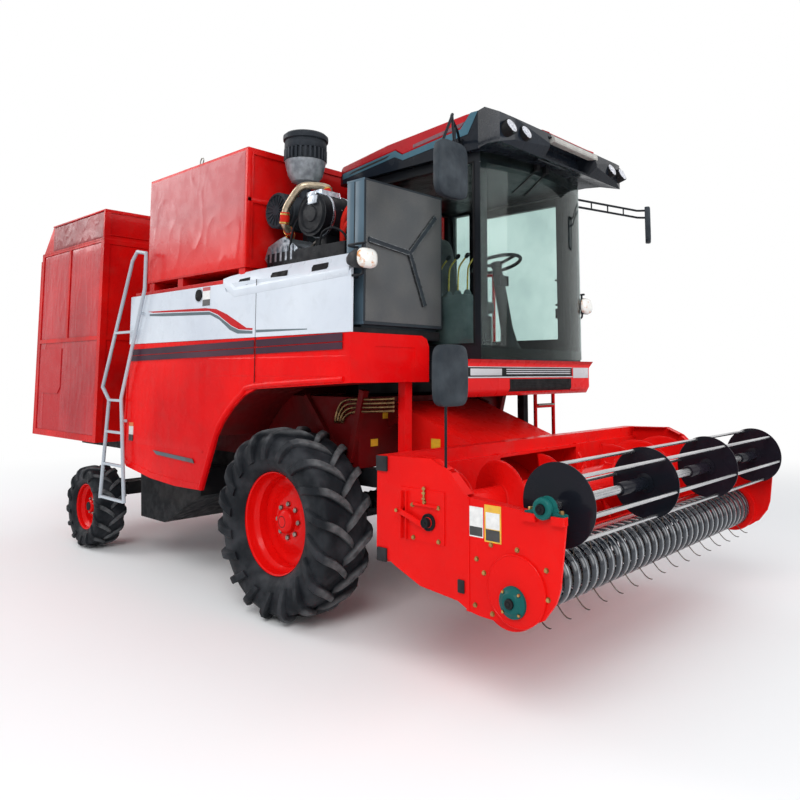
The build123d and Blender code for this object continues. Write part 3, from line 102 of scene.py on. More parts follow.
world = bpy.data.worlds.new("studio")
scene.world = world
world.use_nodes = True
sky = world.node_tree
sky.nodes.clear()
sky_out = sky.nodes.new("ShaderNodeOutputWorld")
sky_seen = sky.nodes.new("ShaderNodeBackground")
sky_seen.inputs["Color"].default_value = (1, 1, 1, 1)
sky_seen.inputs["Strength"].default_value = 1.0
sky_lit = sky.nodes.new("ShaderNodeBackground")
sky_lit.inputs["Color"].default_value = (0.93, 0.96, 1.0, 1)
sky_lit.inputs["Strength"].default_value = SKY_LIGHT
sky_mix = sky.nodes.new("ShaderNodeMixShader")
sky_path = sky.nodes.new("ShaderNodeLightPath")
seen = sky_path.outputs["Is Camera Ray"]
for ray in ("Is Glossy Ray", "Is Transmission Ray"):
    either = sky.nodes.new("ShaderNodeMath")
    either.operation = "MAXIMUM"
    sky.links.new(seen, either.inputs[0])
    sky.links.new(sky_path.outputs[ray], either.inputs[1])
    seen = either.outputs[0]
sky.links.new(seen, sky_mix.inputs["Fac"])
sky.links.new(sky_lit.outputs[0], sky_mix.inputs[1])
sky.links.new(sky_seen.outputs[0], sky_mix.inputs[2])
sky.links.new(sky_mix.outputs[0], sky_out.inputs["Surface"])

for name, place, aim, wide, tall, watts in LAMPS:
    lamp_data = bpy.data.lights.new(name, "AREA")
    lamp_data.shape = "RECTANGLE"
    lamp_data.size, lamp_data.size_y, lamp_data.energy = wide, tall, watts
    lamp = bpy.data.objects.new(name, lamp_data)
    lamp.location = place
    lamp.rotation_euler = (Vector(aim) - Vector(place)).to_track_quat("-Z", "Y").to_euler()
    bpy.context.collection.objects.link(lamp)

floor_mesh = bpy.data.meshes.new("floor")
floor_mesh.from_pydata([(-FLOOR_HALF, -FLOOR_HALF, 0), (FLOOR_HALF, -FLOOR_HALF, 0),
    (FLOOR_HALF, FLOOR_HALF, 0), (-FLOOR_HALF, FLOOR_HALF, 0)], [], [(0, 1, 2, 3)])
floor = bpy.data.objects.new("floor", floor_mesh)
bpy.context.collection.objects.link(floor)
floor_paint = bpy.data.materials.new("pale_floor")
floor_paint.use_nodes = True
floor_shader = floor_paint.node_tree.nodes["Principled BSDF"]
floor_shader.inputs["Base Color"].default_value = (0.94, 0.94, 0.94, 1)
floor_shader.inputs["Roughness"].default_value = 0.75
floor_shader.inputs["Specular IOR Level"].default_value = 0.1
floor_tree = floor_paint.node_tree
floor_place = floor_tree.nodes.new("ShaderNodeTexCoord")
floor_reach = floor_tree.nodes.new("ShaderNodeVectorMath")
floor_reach.operation = "LENGTH"
floor_fade = floor_tree.nodes.new("ShaderNodeMapRange")
floor_fade.interpolation_type = "SMOOTHSTEP"
floor_fade.inputs["From Min"].default_value = FLOOR_CLEAR
floor_fade.inputs["From Max"].default_value = FLOOR_GONE
floor_path = floor_tree.nodes.new("ShaderNodeLightPath")
floor_share = floor_tree.nodes.new("ShaderNodeMath")
floor_share.operation = "MULTIPLY"
floor_white = floor_tree.nodes.new("ShaderNodeEmission")
floor_blend = floor_tree.nodes.new("ShaderNodeMixShader")
floor_tree.links.new(floor_place.outputs["Object"], floor_reach.inputs[0])
floor_tree.links.new(floor_reach.outputs["Value"], floor_fade.inputs["Value"])
floor_tree.links.new(floor_fade.outputs["Result"], floor_share.inputs[0])
floor_tree.links.new(floor_path.outputs["Is Camera Ray"], floor_share.inputs[1])
floor_tree.links.new(floor_share.outputs[0], floor_blend.inputs["Fac"])
floor_tree.links.new(floor_shader.outputs[0], floor_blend.inputs[1])
floor_tree.links.new(floor_white.outputs[0], floor_blend.inputs[2])
floor_tree.links.new(floor_blend.outputs[0], floor_tree.nodes["Material Output"].inputs["Surface"])
floor_mesh.materials.append(floor_paint)

# ------------------------------------------------------------------ tyres
# Bias-ply farm tyres: a moulded rubber carcass with bulged, ribbed side walls and two rows of chevron
# lugs that start at the crown's middle and run back over the shoulders. Apex forward at the top.
TYRES = [  # CAD node, lugs in a row, lug height, lug width
    ("front_tyre_right", 18, 0.038, 0.044),
    ("front_tyre_left", 18, 0.038, 0.044),
    ("rear_tyre_right", 14, 0.018, 0.034),
    ("rear_tyre_left", 14, 0.018, 0.034),
]
RIM_RADIUS = {"front": 0.332, "rear": 0.205}
RUBBER_DARK, RUBBER_DUSTY = (0.009, 0.011, 0.014, 1), (0.038, 0.041, 0.047, 1)
LUG_WORN = (0.13, 0.135, 0.14, 1)


def shader_of(name):
    """A new node material, with its tree and its shader."""
    material = bpy.data.materials.new(name)
    material.use_nodes = True
    return material, material.node_tree, material.node_tree.nodes["Principled BSDF"]


def place_on(tree):
    """Where a point lies in the object's own metres."""
    return tree.nodes.new("ShaderNodeTexCoord").outputs["Object"]


def place_along(tree):
    """The same place as three outputs named X, Y and Z."""
    apart = tree.nodes.new("ShaderNodeSeparateXYZ")
    tree.links.new(place_on(tree), apart.inputs["Vector"])
    return apart.outputs


def cloud(tree, size, detail=3.0, stretch=(1, 1, 1)):
    """Noise over the object's own metres; size is the width of one cloud."""
    scaled = tree.nodes.new("ShaderNodeMapping")
    scaled.inputs["Scale"].default_value = stretch
    texture = tree.nodes.new("ShaderNodeTexNoise")
    texture.inputs["Scale"].default_value = 1.0 / size
    texture.inputs["Detail"].default_value = detail
    tree.links.new(place_on(tree), scaled.inputs["Vector"])
    tree.links.new(scaled.outputs["Vector"], texture.inputs["Vector"])
    return texture.outputs["Fac"]


def spread(tree, value, low, high, from_low=0.35, from_high=0.65):
    """The value's middle range mapped to low..high."""
    ranged = tree.nodes.new("ShaderNodeMapRange")
    ranged.inputs["From Min"].default_value = from_low
    ranged.inputs["From Max"].default_value = from_high
    ranged.inputs["To Min"].default_value = low
    ranged.inputs["To Max"].default_value = high
    tree.links.new(value, ranged.inputs["Value"])
    return ranged.outputs["Result"]


def two_shades(tree, value, first, second):
    """A colour that goes from first to second with the value."""
    mix = tree.nodes.new("ShaderNodeMix")
    mix.data_type = "RGBA"
    mix.inputs["A"].default_value = first
    mix.inputs["B"].default_value = second
    tree.links.new(value, mix.inputs["Factor"])
    return mix.outputs["Result"]


def product(tree, first, second):
    """Two values multiplied, such as a mask and its mottle."""
    times = tree.nodes.new("ShaderNodeMath")
    times.operation = "MULTIPLY"
    tree.links.new(first, times.inputs[0])
    tree.links.new(second, times.inputs[1])
    return times.outputs[0]


def mottled(tree, size, detail, first, second, stretch=(1, 1, 1)):
    """A colour that drifts between two shades in clouds of one size."""
    return two_shades(tree, spread(tree, cloud(tree, size, detail, stretch), 0.0, 1.0), first, second)


def relief(tree, value, depth, strength=1.0, under=None):
    """A bump of the given depth in metres, laid over another one if there is one."""
    bump = tree.nodes.new("ShaderNodeBump")
    bump.inputs["Strength"].default_value = strength
    bump.inputs["Distance"].default_value = depth
    tree.links.new(value, bump.inputs["Height"])
    if under is not None:
        tree.links.new(under, bump.inputs["Normal"])
    return bump.outputs["Normal"]


def plug(tree, shader, colour=None, rough=None, bump=None):
    """Plugs a colour, a roughness and a bump into the shader."""
    for value, socket in ((colour, "Base Color"), (rough, "Roughness"), (bump, "Normal")):
        if value is not None:
            tree.links.new(value, shader.inputs[socket])


def overlay(material, mask, colour):
    """Lays a colour over the material's own wherever the mask is 1."""
    tree, shader = material.node_tree, material.node_tree.nodes["Principled BSDF"]
    under = shader.inputs["Base Color"].links[0].from_socket
    mixed = two_shades(tree, mask, colour, colour)
    tree.links.new(under, mixed.node.inputs["A"])
    plug(tree, shader, mixed)


def moulded_rubber(name, dark, dusty):
    """Moulded rubber or plastic: dark, faintly dusty in clouds, with a fine grain."""
    material, tree, shader = shader_of(name)
    dust = spread(tree, cloud(tree, 0.16, 6.0), 0.0, 1.0, 0.42, 0.72)
    grain = relief(tree, cloud(tree, 0.004, 2.0), 0.0012, 0.5)
    plug(tree, shader, two_shades(tree, dust, dark, dusty), spread(tree, cloud(tree, 0.05), 0.42, 0.68),
         relief(tree, cloud(tree, 0.06, 4.0), 0.002, 0.6, grain))
    shader.inputs["Specular IOR Level"].default_value = 0.12
    return material


def fit_piece(mesh_of, name, body, material, replaces=(), crease=32):
    """Turns a bmesh into a named piece that rides on a body and takes its finish in a material slot.
    Its shading is smooth, apart from creases sharper than the angle."""
    mesh = bpy.data.meshes.new(name)
    bmesh.ops.recalc_face_normals(mesh_of, faces=mesh_of.faces)
    mesh_of.to_mesh(mesh)
    mesh_of.free()
    for face in mesh.polygons:
        face.use_smooth = True
    mesh.set_sharp_from_angle(angle=math.radians(crease))
    mesh.materials.append(material)
    made = bpy.data.objects.new(name, mesh)
    bpy.context.collection.objects.link(made)
    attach(made, body)
    if replaces:
        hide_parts(*replaces)
    return made


def turn(shape, outline, steps, centre=(0, 0, 0), axis="Y", closed=False):
    """Revolves (radius, along) points about an axis through the centre."""
    rings = []
    for k in range(steps):
        a = 2 * math.pi * k / steps
        ring = []
        for r, w in outline:
            c, s = r * math.cos(a), r * math.sin(a)
            spot = {"X": (w, c, s), "Y": (c, w, s), "Z": (c, s, w)}[axis]
            ring.append(shape.verts.new(Vector(spot) + Vector(centre)))
        rings.append(ring)
    count = len(outline)
    for k in range(steps):
        near, far = rings[k], rings[(k + 1) % steps]
        for i in range(count if closed else count - 1):
            j = (i + 1) % count
            if outline[i][0] < 1e-7 and outline[j][0] < 1e-7:
                continue
            quad = [near[i], near[j], far[j], far[i]]
            if outline[i][0] < 1e-7:
                quad = [near[i], near[j], far[j]]
            elif outline[j][0] < 1e-7:
                quad = [near[i], near[j], far[i]]
            shape.faces.new(quad)


def loft(shape, rings, closed=True):
    """Skins a row of rings with the same number of corners; closed rings meet their own first corner."""
    count = len(rings[0])
    for near, far in zip(rings, rings[1:]):
        for i in range(count if closed else count - 1):
            j = (i + 1) % count
            shape.faces.new([near[i], near[j], far[j], far[i]])


def rounded_line(points, per_span=6):
    """Points along a smooth line through the given points."""
    ends = [points[0]] + list(points) + [points[-1]]
    line = []
    for a, b, c, d in zip(ends, ends[1:], ends[2:], ends[3:]):
        for k in range(per_span):
            t = k / per_span
            spot = []
            for p, q, r, s in zip(a, b, c, d):
                curve = 2 * q + (r - p) * t + (2 * p - 5 * q + 4 * r - s) * t * t
                spot.append(0.5 * (curve + (3 * q - p - 3 * r + s) * t ** 3))
            line.append(tuple(spot))
    line.append(tuple(points[-1]))
    return line


def lug_bar(shape, half_line, centre, row, angle, height, width):
    """One lug: a bar of trapezoid section that follows the carcass from the crown over the shoulder."""
    steps = 12
    travelled, run = 0.0, []
    for (r0, y0), (r1, y1) in zip(half_line, half_line[1:]):
        run.append((travelled, r0, y0, r1, y1))
        travelled += math.hypot(r1 - r0, y1 - y0)
    length = 0.74 * travelled
    rings = []
    for j in range(steps + 1):
        t = j / steps
        s = t * length - 0.10 * length * (1 - t)
        along, (r0, y0, r1, y1) = abs(s), run[0][1:]
        for start, *span in run:
            if start <= along:
                r0, y0, r1, y1 = span
                base = start
        piece = math.hypot(r1 - r0, y1 - y0)
        f = min(1.0, (along - base) / piece)
        r, y = r0 + (r1 - r0) * f, y0 + (y1 - y0) * f
        out_r, out_y = (y1 - y0) / piece, -(r1 - r0) / piece
        if s < 0:
            y = -y
        swing = 0.92 * s - 0.42 * s * s / length
        tall = height * min(1.0, 0.35 + 5 * t) * (1.0 if t < 0.7 else 1.0 - 1.9 * (t - 0.7))
        foot, top = 0.60 * width * (1 + 0.25 * t), 0.46 * width * (1 + 0.25 * t)
        ring = []
        for side, lift in ((-foot, -0.008), (-top - 0.003, tall - 0.006), (-top + 0.003, tall),
                (top - 0.003, tall), (top + 0.003, tall - 0.006), (foot, -0.008)):
            radius = r + out_r * lift
            a = angle + (side - swing) / r
            ring.append(shape.verts.new(Vector((radius * math.sin(a), row * (y + out_y * lift),
                radius * math.cos(a))) + centre))
        rings.append(ring)
    loft(shape, rings, closed=False)
    shape.faces.new(rings[0])
    shape.faces.new(list(reversed(rings[-1])))


def tread_rubber(name, centre, worn_from, worn_to):
    """Tyre rubber whose lugs are scuffed pale on top, from one radius about the axle to another."""
    material = moulded_rubber(name, RUBBER_DARK, RUBBER_DUSTY)
    tree = material.node_tree
    spot = place_on(tree)
    for operation, by in (("SUBTRACT", tuple(centre)), ("MULTIPLY", (1, 0, 1)), ("LENGTH", None)):
        step = tree.nodes.new("ShaderNodeVectorMath")
        step.operation = operation
        tree.links.new(spot, step.inputs[0])
        if by:
            step.inputs[1].default_value = by
        spot = step.outputs["Vector"] if by else step.outputs["Value"]
    reach = spread(tree, spot, 0.0, 1.0, worn_from, worn_to)
    overlay(material, product(tree, reach, spread(tree, cloud(tree, 0.05, 5.0), 0.35, 1.0)), LUG_WORN)
    return material


for node, lugs, lug_tall, lug_wide in TYRES:
    low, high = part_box(node)
    centre = (low + high) / 2
    radius, wide = (high.z - low.z) / 2, high.y - low.y
    rim = RIM_RADIUS[node.split("_")[0]]
    crown = radius - lug_tall - 0.006
    wall = crown - rim
    outline = [(rim + 0.001, 0.335 * wide), (rim + 0.03 * wall, 0.375 * wide),
        (rim + 0.14 * wall, 0.435 * wide), (rim + 0.30 * wall, 0.475 * wide),
        (rim + 0.52 * wall, 0.495 * wide), (crown - 0.20 * wall, 0.478 * wide),
        (crown - 0.06 * wall, 0.43 * wide), (crown, 0.35 * wide), (crown + 0.004, 0.18 * wide),
        (crown + 0.006, 0.0)]
    half = rounded_line(outline, 4)
    # moulded ribs of the side wall
    for ring_at, ring_tall in ((0.20, 0.004), (0.24, 0.004), (0.62, 0.003)):
        half = [(r, w + ring_tall * math.exp(-(((r - rim) / wall - ring_at) / 0.012) ** 2)) for r, w in half]
    full = half + [(r, -w) for r, w in reversed(half[:-1])]
    rubber = tread_rubber(f"{node}_rubber", centre, crown + 0.3 * lug_tall, crown + lug_tall)
    tyre = bmesh.new()
    turn(tyre, full, 6 * lugs, centre)
    outward = list(reversed(half))
    step = 2 * math.pi / lugs
    for row in (1, -1):
        for k in range(lugs):
            lug_bar(tyre, outward, centre, row, (k + 0.25 * row) * step, lug_tall, lug_wide)
    fit_piece(tyre, node.replace("tyre", "tyre_dressed"), nodes[node]["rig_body"], rubber,
        (node,), 38)

# ------------------------------------------------------------------ wheel rims
# Pressed steel drop-centre rims with a dished disc welded in, sprayed gloss red inside and out. The
# hub's dome stands in the middle of the disc inside a ring of wheel nuts.
RED, RED_SHADE = (0.78, 0.006, 0.005, 1), (0.60, 0.004, 0.004, 1)
ZINC, ZINC_SHADE = (0.32, 0.31, 0.28, 1), (0.18, 0.17, 0.15, 1)
FIELD_DIRT = (0.10, 0.075, 0.06, 1)
RIM_WIDE, DISC_AT = {"front": 0.394, "rear": 0.262}, {"front": 1.019, "rear": 1.053}


def sprayed(name, colour, shade, rough=0.30, coat=0.06, dent=0.0, dent_size=0.5, grime=0.0, shine=0.08):
    """Enamel on steel: two shades in soft clouds, orange peel, and shallow dents where the sheet is thin."""
    material, tree, shader = shader_of(name)
    shader.inputs["Specular IOR Level"].default_value = shine
    shader.inputs["Coat Weight"].default_value = coat
    shader.inputs["Coat Roughness"].default_value = 0.08
    peel = relief(tree, cloud(tree, 0.012, 2.0), 0.0006, 0.35)
    if dent:
        waves = relief(tree, cloud(tree, dent_size, 3.0, (1, 1, 0.55)), dent, 0.8, peel)
        peel = relief(tree, cloud(tree, dent_size * 0.3, 2.0), dent * 0.18, 0.7, waves)
    plug(tree, shader, mottled(tree, 0.7, 4.0, colour, shade),
         spread(tree, cloud(tree, 0.12, 5.0), rough - 0.07, rough + 0.12), peel)
    if grime:
        overlay(material, spread(tree, cloud(tree, 0.09, 8.0), 0.0, grime, 0.5, 0.8), FIELD_DIRT)
    return material


def bare_metal(name, colour, shade, rough=0.35, drawn=(1, 1, 1)):
    """Turned, plated or cast metal with a faint mottle, stretched along the way it was drawn."""
    material, tree, shader = shader_of(name)
    plug(tree, shader, mottled(tree, 0.03, 6.0, colour, shade, drawn),
         spread(tree, cloud(tree, 0.015, 4.0, drawn), rough - 0.08, rough + 0.12),
         relief(tree, cloud(tree, 0.006, 3.0, drawn), 0.0002, 0.3))
    shader.inputs["Metallic"].default_value = 0.9
    return material


def hex_head(shape, centre, axis, across, tall):
    """A hexagon head standing on the surface at centre, its axis pointing out."""
    out = Vector(axis).normalized()
    side = out.orthogonal().normalized()
    up = out.cross(side)
    r = across / math.sqrt(3)
    rings = []
    corners = [side * math.cos(a) + up * math.sin(a) for a in (math.radians(60 * k) for k in range(6))]
    for radius, lift in ((r, 0.0), (r, tall * 0.8), (r * 0.82, tall)):
        rings.append([shape.verts.new(Vector(centre) + out * lift + c * radius) for c in corners])
    loft(shape, rings)
    shape.faces.new(rings[-1])
    shape.faces.new(list(reversed(rings[0])))


rim_red = sprayed("rim_enamel", RED, RED_SHADE, 0.25, 0.12)
zinc = bare_metal("zinc_fasteners", ZINC, ZINC_SHADE)
for name, hub, studs in (("front_rim_right", 0.080, 8), ("front_rim_left", 0.080, 8),
        ("rear_rim_right", 0.055, 6), ("rear_rim_left", 0.055, 6)):
    low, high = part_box(name)
    body = nodes[name]["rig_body"]
    out = -1 if name.endswith("right") else 1
    axle = name.split("_")[0]
    front = axle == "front"
    radius, wide = RIM_RADIUS[axle], RIM_WIDE[axle]
    dish = 0.020 if front else 0.030
    deep = 0.062 if front else 0.042
    middle = (low + high) / 2
    centre = Vector((middle.x, out * DISC_AT[axle], middle.z))
    barrel = [(radius, 0.360), (radius, 0.345), (radius - 0.008, 0.335), (radius - 0.011, 0.30),
        (radius - 0.010, 0.22), (radius - 0.022, 0.17), (radius - 0.037, 0.13), (radius - 0.037, -0.15),
        (radius - 0.020, -0.20), (radius - 0.011, -0.23), (radius - 0.011, -0.34), (radius, -0.36),
        (radius - 0.001, -0.22), (radius - 0.022, -0.15), (radius - 0.024, 0.12), (radius - 0.003, 0.20)]
    wheel = bmesh.new()
    turn(wheel, [(r, out * w * wide) for r, w in barrel], 96, centre, closed=True)
    face = rounded_line([(radius - 0.036, dish - 0.030), (0.84 * radius, dish - 0.027),
        (0.70 * radius, dish - 0.030), (0.56 * radius, dish - 0.014), (0.44 * radius, dish + 0.001),
        (hub + 0.03, dish + 0.002), (hub + 0.004, dish + 0.003), (hub, dish + 0.010),
        (hub, dish + 0.5 * deep), (0.93 * hub, dish + 0.7 * deep), (0.62 * hub, dish + 0.93 * deep),
        (0.0, dish + deep)], 3)
    back = [(0.0, dish - 0.012), (0.44 * radius, dish - 0.012), (0.70 * radius, dish - 0.042),
        (radius - 0.036, dish - 0.040)]
    turn(wheel, [(r, out * w) for r, w in face], 72, centre)
    turn(wheel, [(r, out * w) for r, w in reversed(back)], 48, centre)
    fit_piece(wheel, name.replace("rim", "rim_dressed"), body, rim_red, (name,), 40)
    nuts = bmesh.new()
    ring = 0.5 * (hub + 0.42 * radius)
    for k in range(studs):
        a = 2 * math.pi * k / studs
        spot = centre + Vector((ring * math.cos(a), out * (dish + 0.001), ring * math.sin(a)))
        hex_head(nuts, spot, (0, out, 0), 0.030 if front else 0.022, 0.018)
    valve = centre + Vector((0.0, out * (dish - 0.02), 0.86 * radius))
    turn(nuts, [(0.0, out * 0.05), (0.005, out * 0.05), (0.006, 0.0), (0.0, 0.0)], 10, valve)
    fit_piece(nuts, name.replace("rim", "wheel_nuts"), body, zinc)

# ------------------------------------------------------------------ running gear
# Cast axle housings, welded steel frame rails and knuckles, brushed over with black chassis paint
# that has gone dull with field dust. Bolted flanges and four steel oil pipes are all that is bright.
CHASSIS_BLACK, CHASSIS_DUST = (0.010, 0.011, 0.013, 1), (0.045, 0.043, 0.042, 1)
PIPE_BRONZE, PIPE_BRONZE_DARK = (0.36, 0.22, 0.10, 1), (0.20, 0.12, 0.06, 1)


def soften(name, material, edge=0.003, crease=30):
    """Paints a construction node and rounds its edges by the given radius; its own mesh stays as it is."""
    part = nodes[name]
    if part.data.attributes.get("custom_normal"):
        part.data.attributes.remove(part.data.attributes["custom_normal"])
    for face in part.data.polygons:
        face.use_smooth = True
    for place in part.material_slots:
        place.material = material
    weld = part.modifiers.new("weld", "WELD")
    weld.merge_threshold = 0.00005
    if edge:
        flat = part.modifiers.new("flat", "DECIMATE")
        flat.decimate_type = "DISSOLVE"
        flat.angle_limit = math.radians(0.4)
        bevel = part.modifiers.new("edge", "BEVEL")
        bevel.width, bevel.segments = edge, 2
        bevel.limit_method, bevel.angle_limit = "ANGLE", math.radians(crease)
        bevel.use_clamp_overlap = True
    normals = part.modifiers.new("normals", "WEIGHTED_NORMAL")
    normals.mode, normals.weight, normals.keep_sharp = "FACE_AREA", 60, True


def dusty(name, colour, dust, rough=0.55, amount=0.8):
    """Dull paint with dust lying in clouds and a coarse brushed or cast skin."""
    material, tree, shader = shader_of(name)
    layer = spread(tree, cloud(tree, 0.22, 8.0), 0.0, amount, 0.45, 0.8)
    plug(tree, shader, two_shades(tree, layer, colour, dust),
         spread(tree, cloud(tree, 0.06, 5.0), rough - 0.15, rough + 0.2),
         relief(tree, cloud(tree, 0.01, 3.0), 0.0012, 0.5))
    shader.inputs["Specular IOR Level"].default_value = 0.1
    return material


def tube_line(name, points, radius, body, material, sides=12, smooth=True):
    """A bent tube through the points, as one piece."""
    line = rounded_line([tuple(p) for p in points], 5) if smooth else [tuple(p) for p in points]
    tube = bmesh.new()
    add_tube(tube, line, radius, sides)
    return fit_piece(tube, name, body, material, crease=45)


def add_tube(shape, line, radius, sides=12):
    """Sweeps a circle along a line of points and closes both ends."""
    line = [Vector(p) for p in line]
    side = (line[1] - line[0]).orthogonal().normalized()
    rings = []
    for k, spot in enumerate(line):
        ahead = (line[min(k + 1, len(line) - 1)] - line[max(k - 1, 0)]).normalized()
        side = (side - ahead * side.dot(ahead)).normalized()
        up = ahead.cross(side)
        size = radius[k] if isinstance(radius, (list, tuple)) else radius
        turns = [2 * math.pi * j / sides for j in range(sides)]
        rings.append([shape.verts.new(spot + (side * math.cos(a) + up * math.sin(a)) * size) for a in turns])
    loft(shape, rings)
    shape.faces.new(list(reversed(rings[0])))
    shape.faces.new(rings[-1])


chassis_black = dusty("chassis_black", CHASSIS_BLACK, CHASSIS_DUST)
for name in ("front_axle", "rear_axle", "chassis_frame", "knuckle_right", "knuckle_left", "tie_rod",
        "cleaning_chute", "lift_barrels", "tank_barrel"):
    soften(name, chassis_black, 0.003)

bronze = bare_metal("oil_pipe_plating", PIPE_BRONZE, PIPE_BRONZE_DARK, 0.3)
for k, drop in enumerate((0.0, 0.026, 0.052, 0.078)):
    tube_line(f"oil_pipe_{k}", [(0.165 + drop, -0.765, 1.262), (0.17 + drop, -0.791, 1.275),
        (0.20 + drop, -0.791, 1.36 - drop * 0.6), (0.28 + drop, -0.791, 1.42 - drop),
        (0.52, -0.791, 1.43 - drop), (0.72, -0.775, 1.44 - drop)], 0.009, "root", bronze)

# ------------------------------------------------------------------ side panels
# Pressed steel panels hung on the body's posts: a bluish white upper length with air slots and a
# two-colour stripe, and a red lower length with plum bands, its rim rolled round the wheel arch.
WHITE, WHITE_SHADE = (0.66, 0.71, 0.77, 1), (0.56, 0.61, 0.68, 1)
BODY_RED, BODY_RED_SHADE = (0.80, 0.005, 0.005, 1), (0.62, 0.003, 0.005, 1)
ARCH_RED, ARCH_DUST = (0.13, 0.003, 0.004, 1), (0.055, 0.014, 0.012, 1)
PLUM, PLUM_SHADE = (0.040, 0.016, 0.030, 1), (0.070, 0.028, 0.045, 1)
SLATE, SLATE_SHADE = (0.13, 0.17, 0.19, 1), (0.09, 0.12, 0.135, 1)
SIDE_Y = 1.216
STRIPE_RED = [(-1.730, 2.112), (-0.832, 2.088), (-0.685, 2.072), (-0.542, 2.026), (-0.290, 1.917),
    (-0.217, 1.912), (-0.217, 1.898), (-0.382, 1.910), (-0.479, 1.941), (-0.662, 2.030), (-0.780, 2.064),
    (-1.640, 2.098)]
STRIPE_SLATE = [(-1.700, 2.090), (-1.473, 2.084), (-0.780, 2.057), (-0.662, 2.022), (-0.479, 1.935),
    (-0.382, 1.905), (-0.217, 1.892), (-0.217, 1.874), (-0.400, 1.881), (-0.498, 1.911), (-0.641, 1.992),
    (-0.766, 2.034), (-1.472, 2.060), (-1.700, 2.074)]
STRIPE_TAIL = [(-0.176, 1.899), (0.381, 1.884), (0.382, 1.878), (-0.176, 1.880)]
ARCH_LINE = [(0.735, 1.567), (-0.176, 1.516), (-0.320, 1.466), (-0.459, 1.374), (-0.579, 1.263),
    (-0.655, 1.158), (-0.834, 0.757)]
PANEL_SEAM = [(-0.1835, 2.250), (-0.1835, 1.490)]


def strip(name, corners, side, lift, material):
    """A vinyl strip on a side panel: an outline in the XZ plane with its edge turned onto the sheet."""
    sheet = bmesh.new()
    y = side * SIDE_Y
    outer = [sheet.verts.new((x, y + side * lift, z)) for x, z in corners]
    inner = [sheet.verts.new((x, y - side * 0.0004, z)) for x, z in corners]
    sheet.faces.new(outer)
    for k in range(len(corners)):
        n = (k + 1) % len(corners)
        sheet.faces.new([outer[k], outer[n], inner[n], inner[k]])
    return fit_piece(sheet, name, "root", material)


def block(shape, low, high, turn_by=None, about=(0, 0, 0)):
    """Adds a block between two corners, turned about a point if a matrix is given."""
    spots = [Vector((x, y, z)) for x in (low[0], high[0]) for y in (low[1], high[1])
        for z in (low[2], high[2])]
    if turn_by is not None:
        spots = [turn_by @ (s - Vector(about)) + Vector(about) for s in spots]
    v = [shape.verts.new(s) for s in spots]
    for quad in ((0, 1, 3, 2), (4, 6, 7, 5), (0, 4, 5, 1), (2, 3, 7, 6), (0, 2, 6, 4), (1, 5, 7, 3)):
        shape.faces.new([v[k] for k in quad])
    return v


def bevelled(shape, width, segments=2, sharper_than=30):
    """Rounds every edge of the shape that is sharper than the angle."""
    shape.normal_update()
    edges = [e for e in shape.edges if len(e.link_faces) == 2
        and e.calc_face_angle() > math.radians(sharper_than)]
    bmesh.ops.bevel(shape, geom=edges, offset=width, segments=segments, affect="EDGES", profile=0.5,
        clamp_overlap=True)


def dented_sheet(shape, corner, along, up, out, length, height, dents, nu=70, nv=50):
    """A thin sheet over a flat wall, sprung out of flat by dents(u, v) in metres, its rim on the wall."""
    rows = []
    for i in range(nu + 1):
        u = length * i / nu
        row = []
        for j in range(nv + 1):
            v = height * j / nv
            rim = min(1.0, 14 * min(i / nu, 1 - i / nu, j / nv, 1 - j / nv))
            lift = 0.0008 + rim * max(0.0, dents(u, v)) if 0 < i < nu and 0 < j < nv else 0.0
            spot = Vector(corner) + Vector(along) * u + Vector(up) * v
            row.append(shape.verts.new(spot + Vector(out) * lift))
        rows.append(row)
    loft(shape, rows, closed=False)


def creased(seed, size_u, size_v, depth, fold=0.5):
    """Buckles of thin sheet: broad swells with sharper folds where two swells meet."""
    def height(u, v):
        spot = Vector((u / size_u + seed, v / size_v, 0.37 * seed))
        swell = 0.5 + 0.6 * noise.noise(spot)
        bend = 1 - min(1.0, 3.2 * abs(noise.noise(spot * 1.9 + Vector((7.1, 3.3, 0)))))
        return depth * ((1 - fold) * swell + fold * bend ** 2)
    return height


panel_white = sprayed("panel_white", WHITE, WHITE_SHADE, 0.30, 0.2, 0.003, 0.7, 0.08)
body_red = sprayed("body_red", BODY_RED, BODY_RED_SHADE, 0.24, 0.04, 0.002, 0.6, 0.10, 0.045)
arch_red = dusty("arch_red", ARCH_RED, ARCH_DUST, 0.5, 0.9)
plum = sprayed("plum_band", PLUM, PLUM_SHADE, 0.35)
slate = sprayed("slate_stripe", SLATE, SLATE_SHADE, 0.35)
stripe_red = sprayed("stripe_red", (0.52, 0.006, 0.010, 1), (0.40, 0.005, 0.010, 1), 0.3)
soften("upper_panels", panel_white, 0.004)
soften("lower_panels", body_red, 0.006)
soften("wheel_arches", arch_red, 0.003)
soften("threshing_body", arch_red, 0.004)

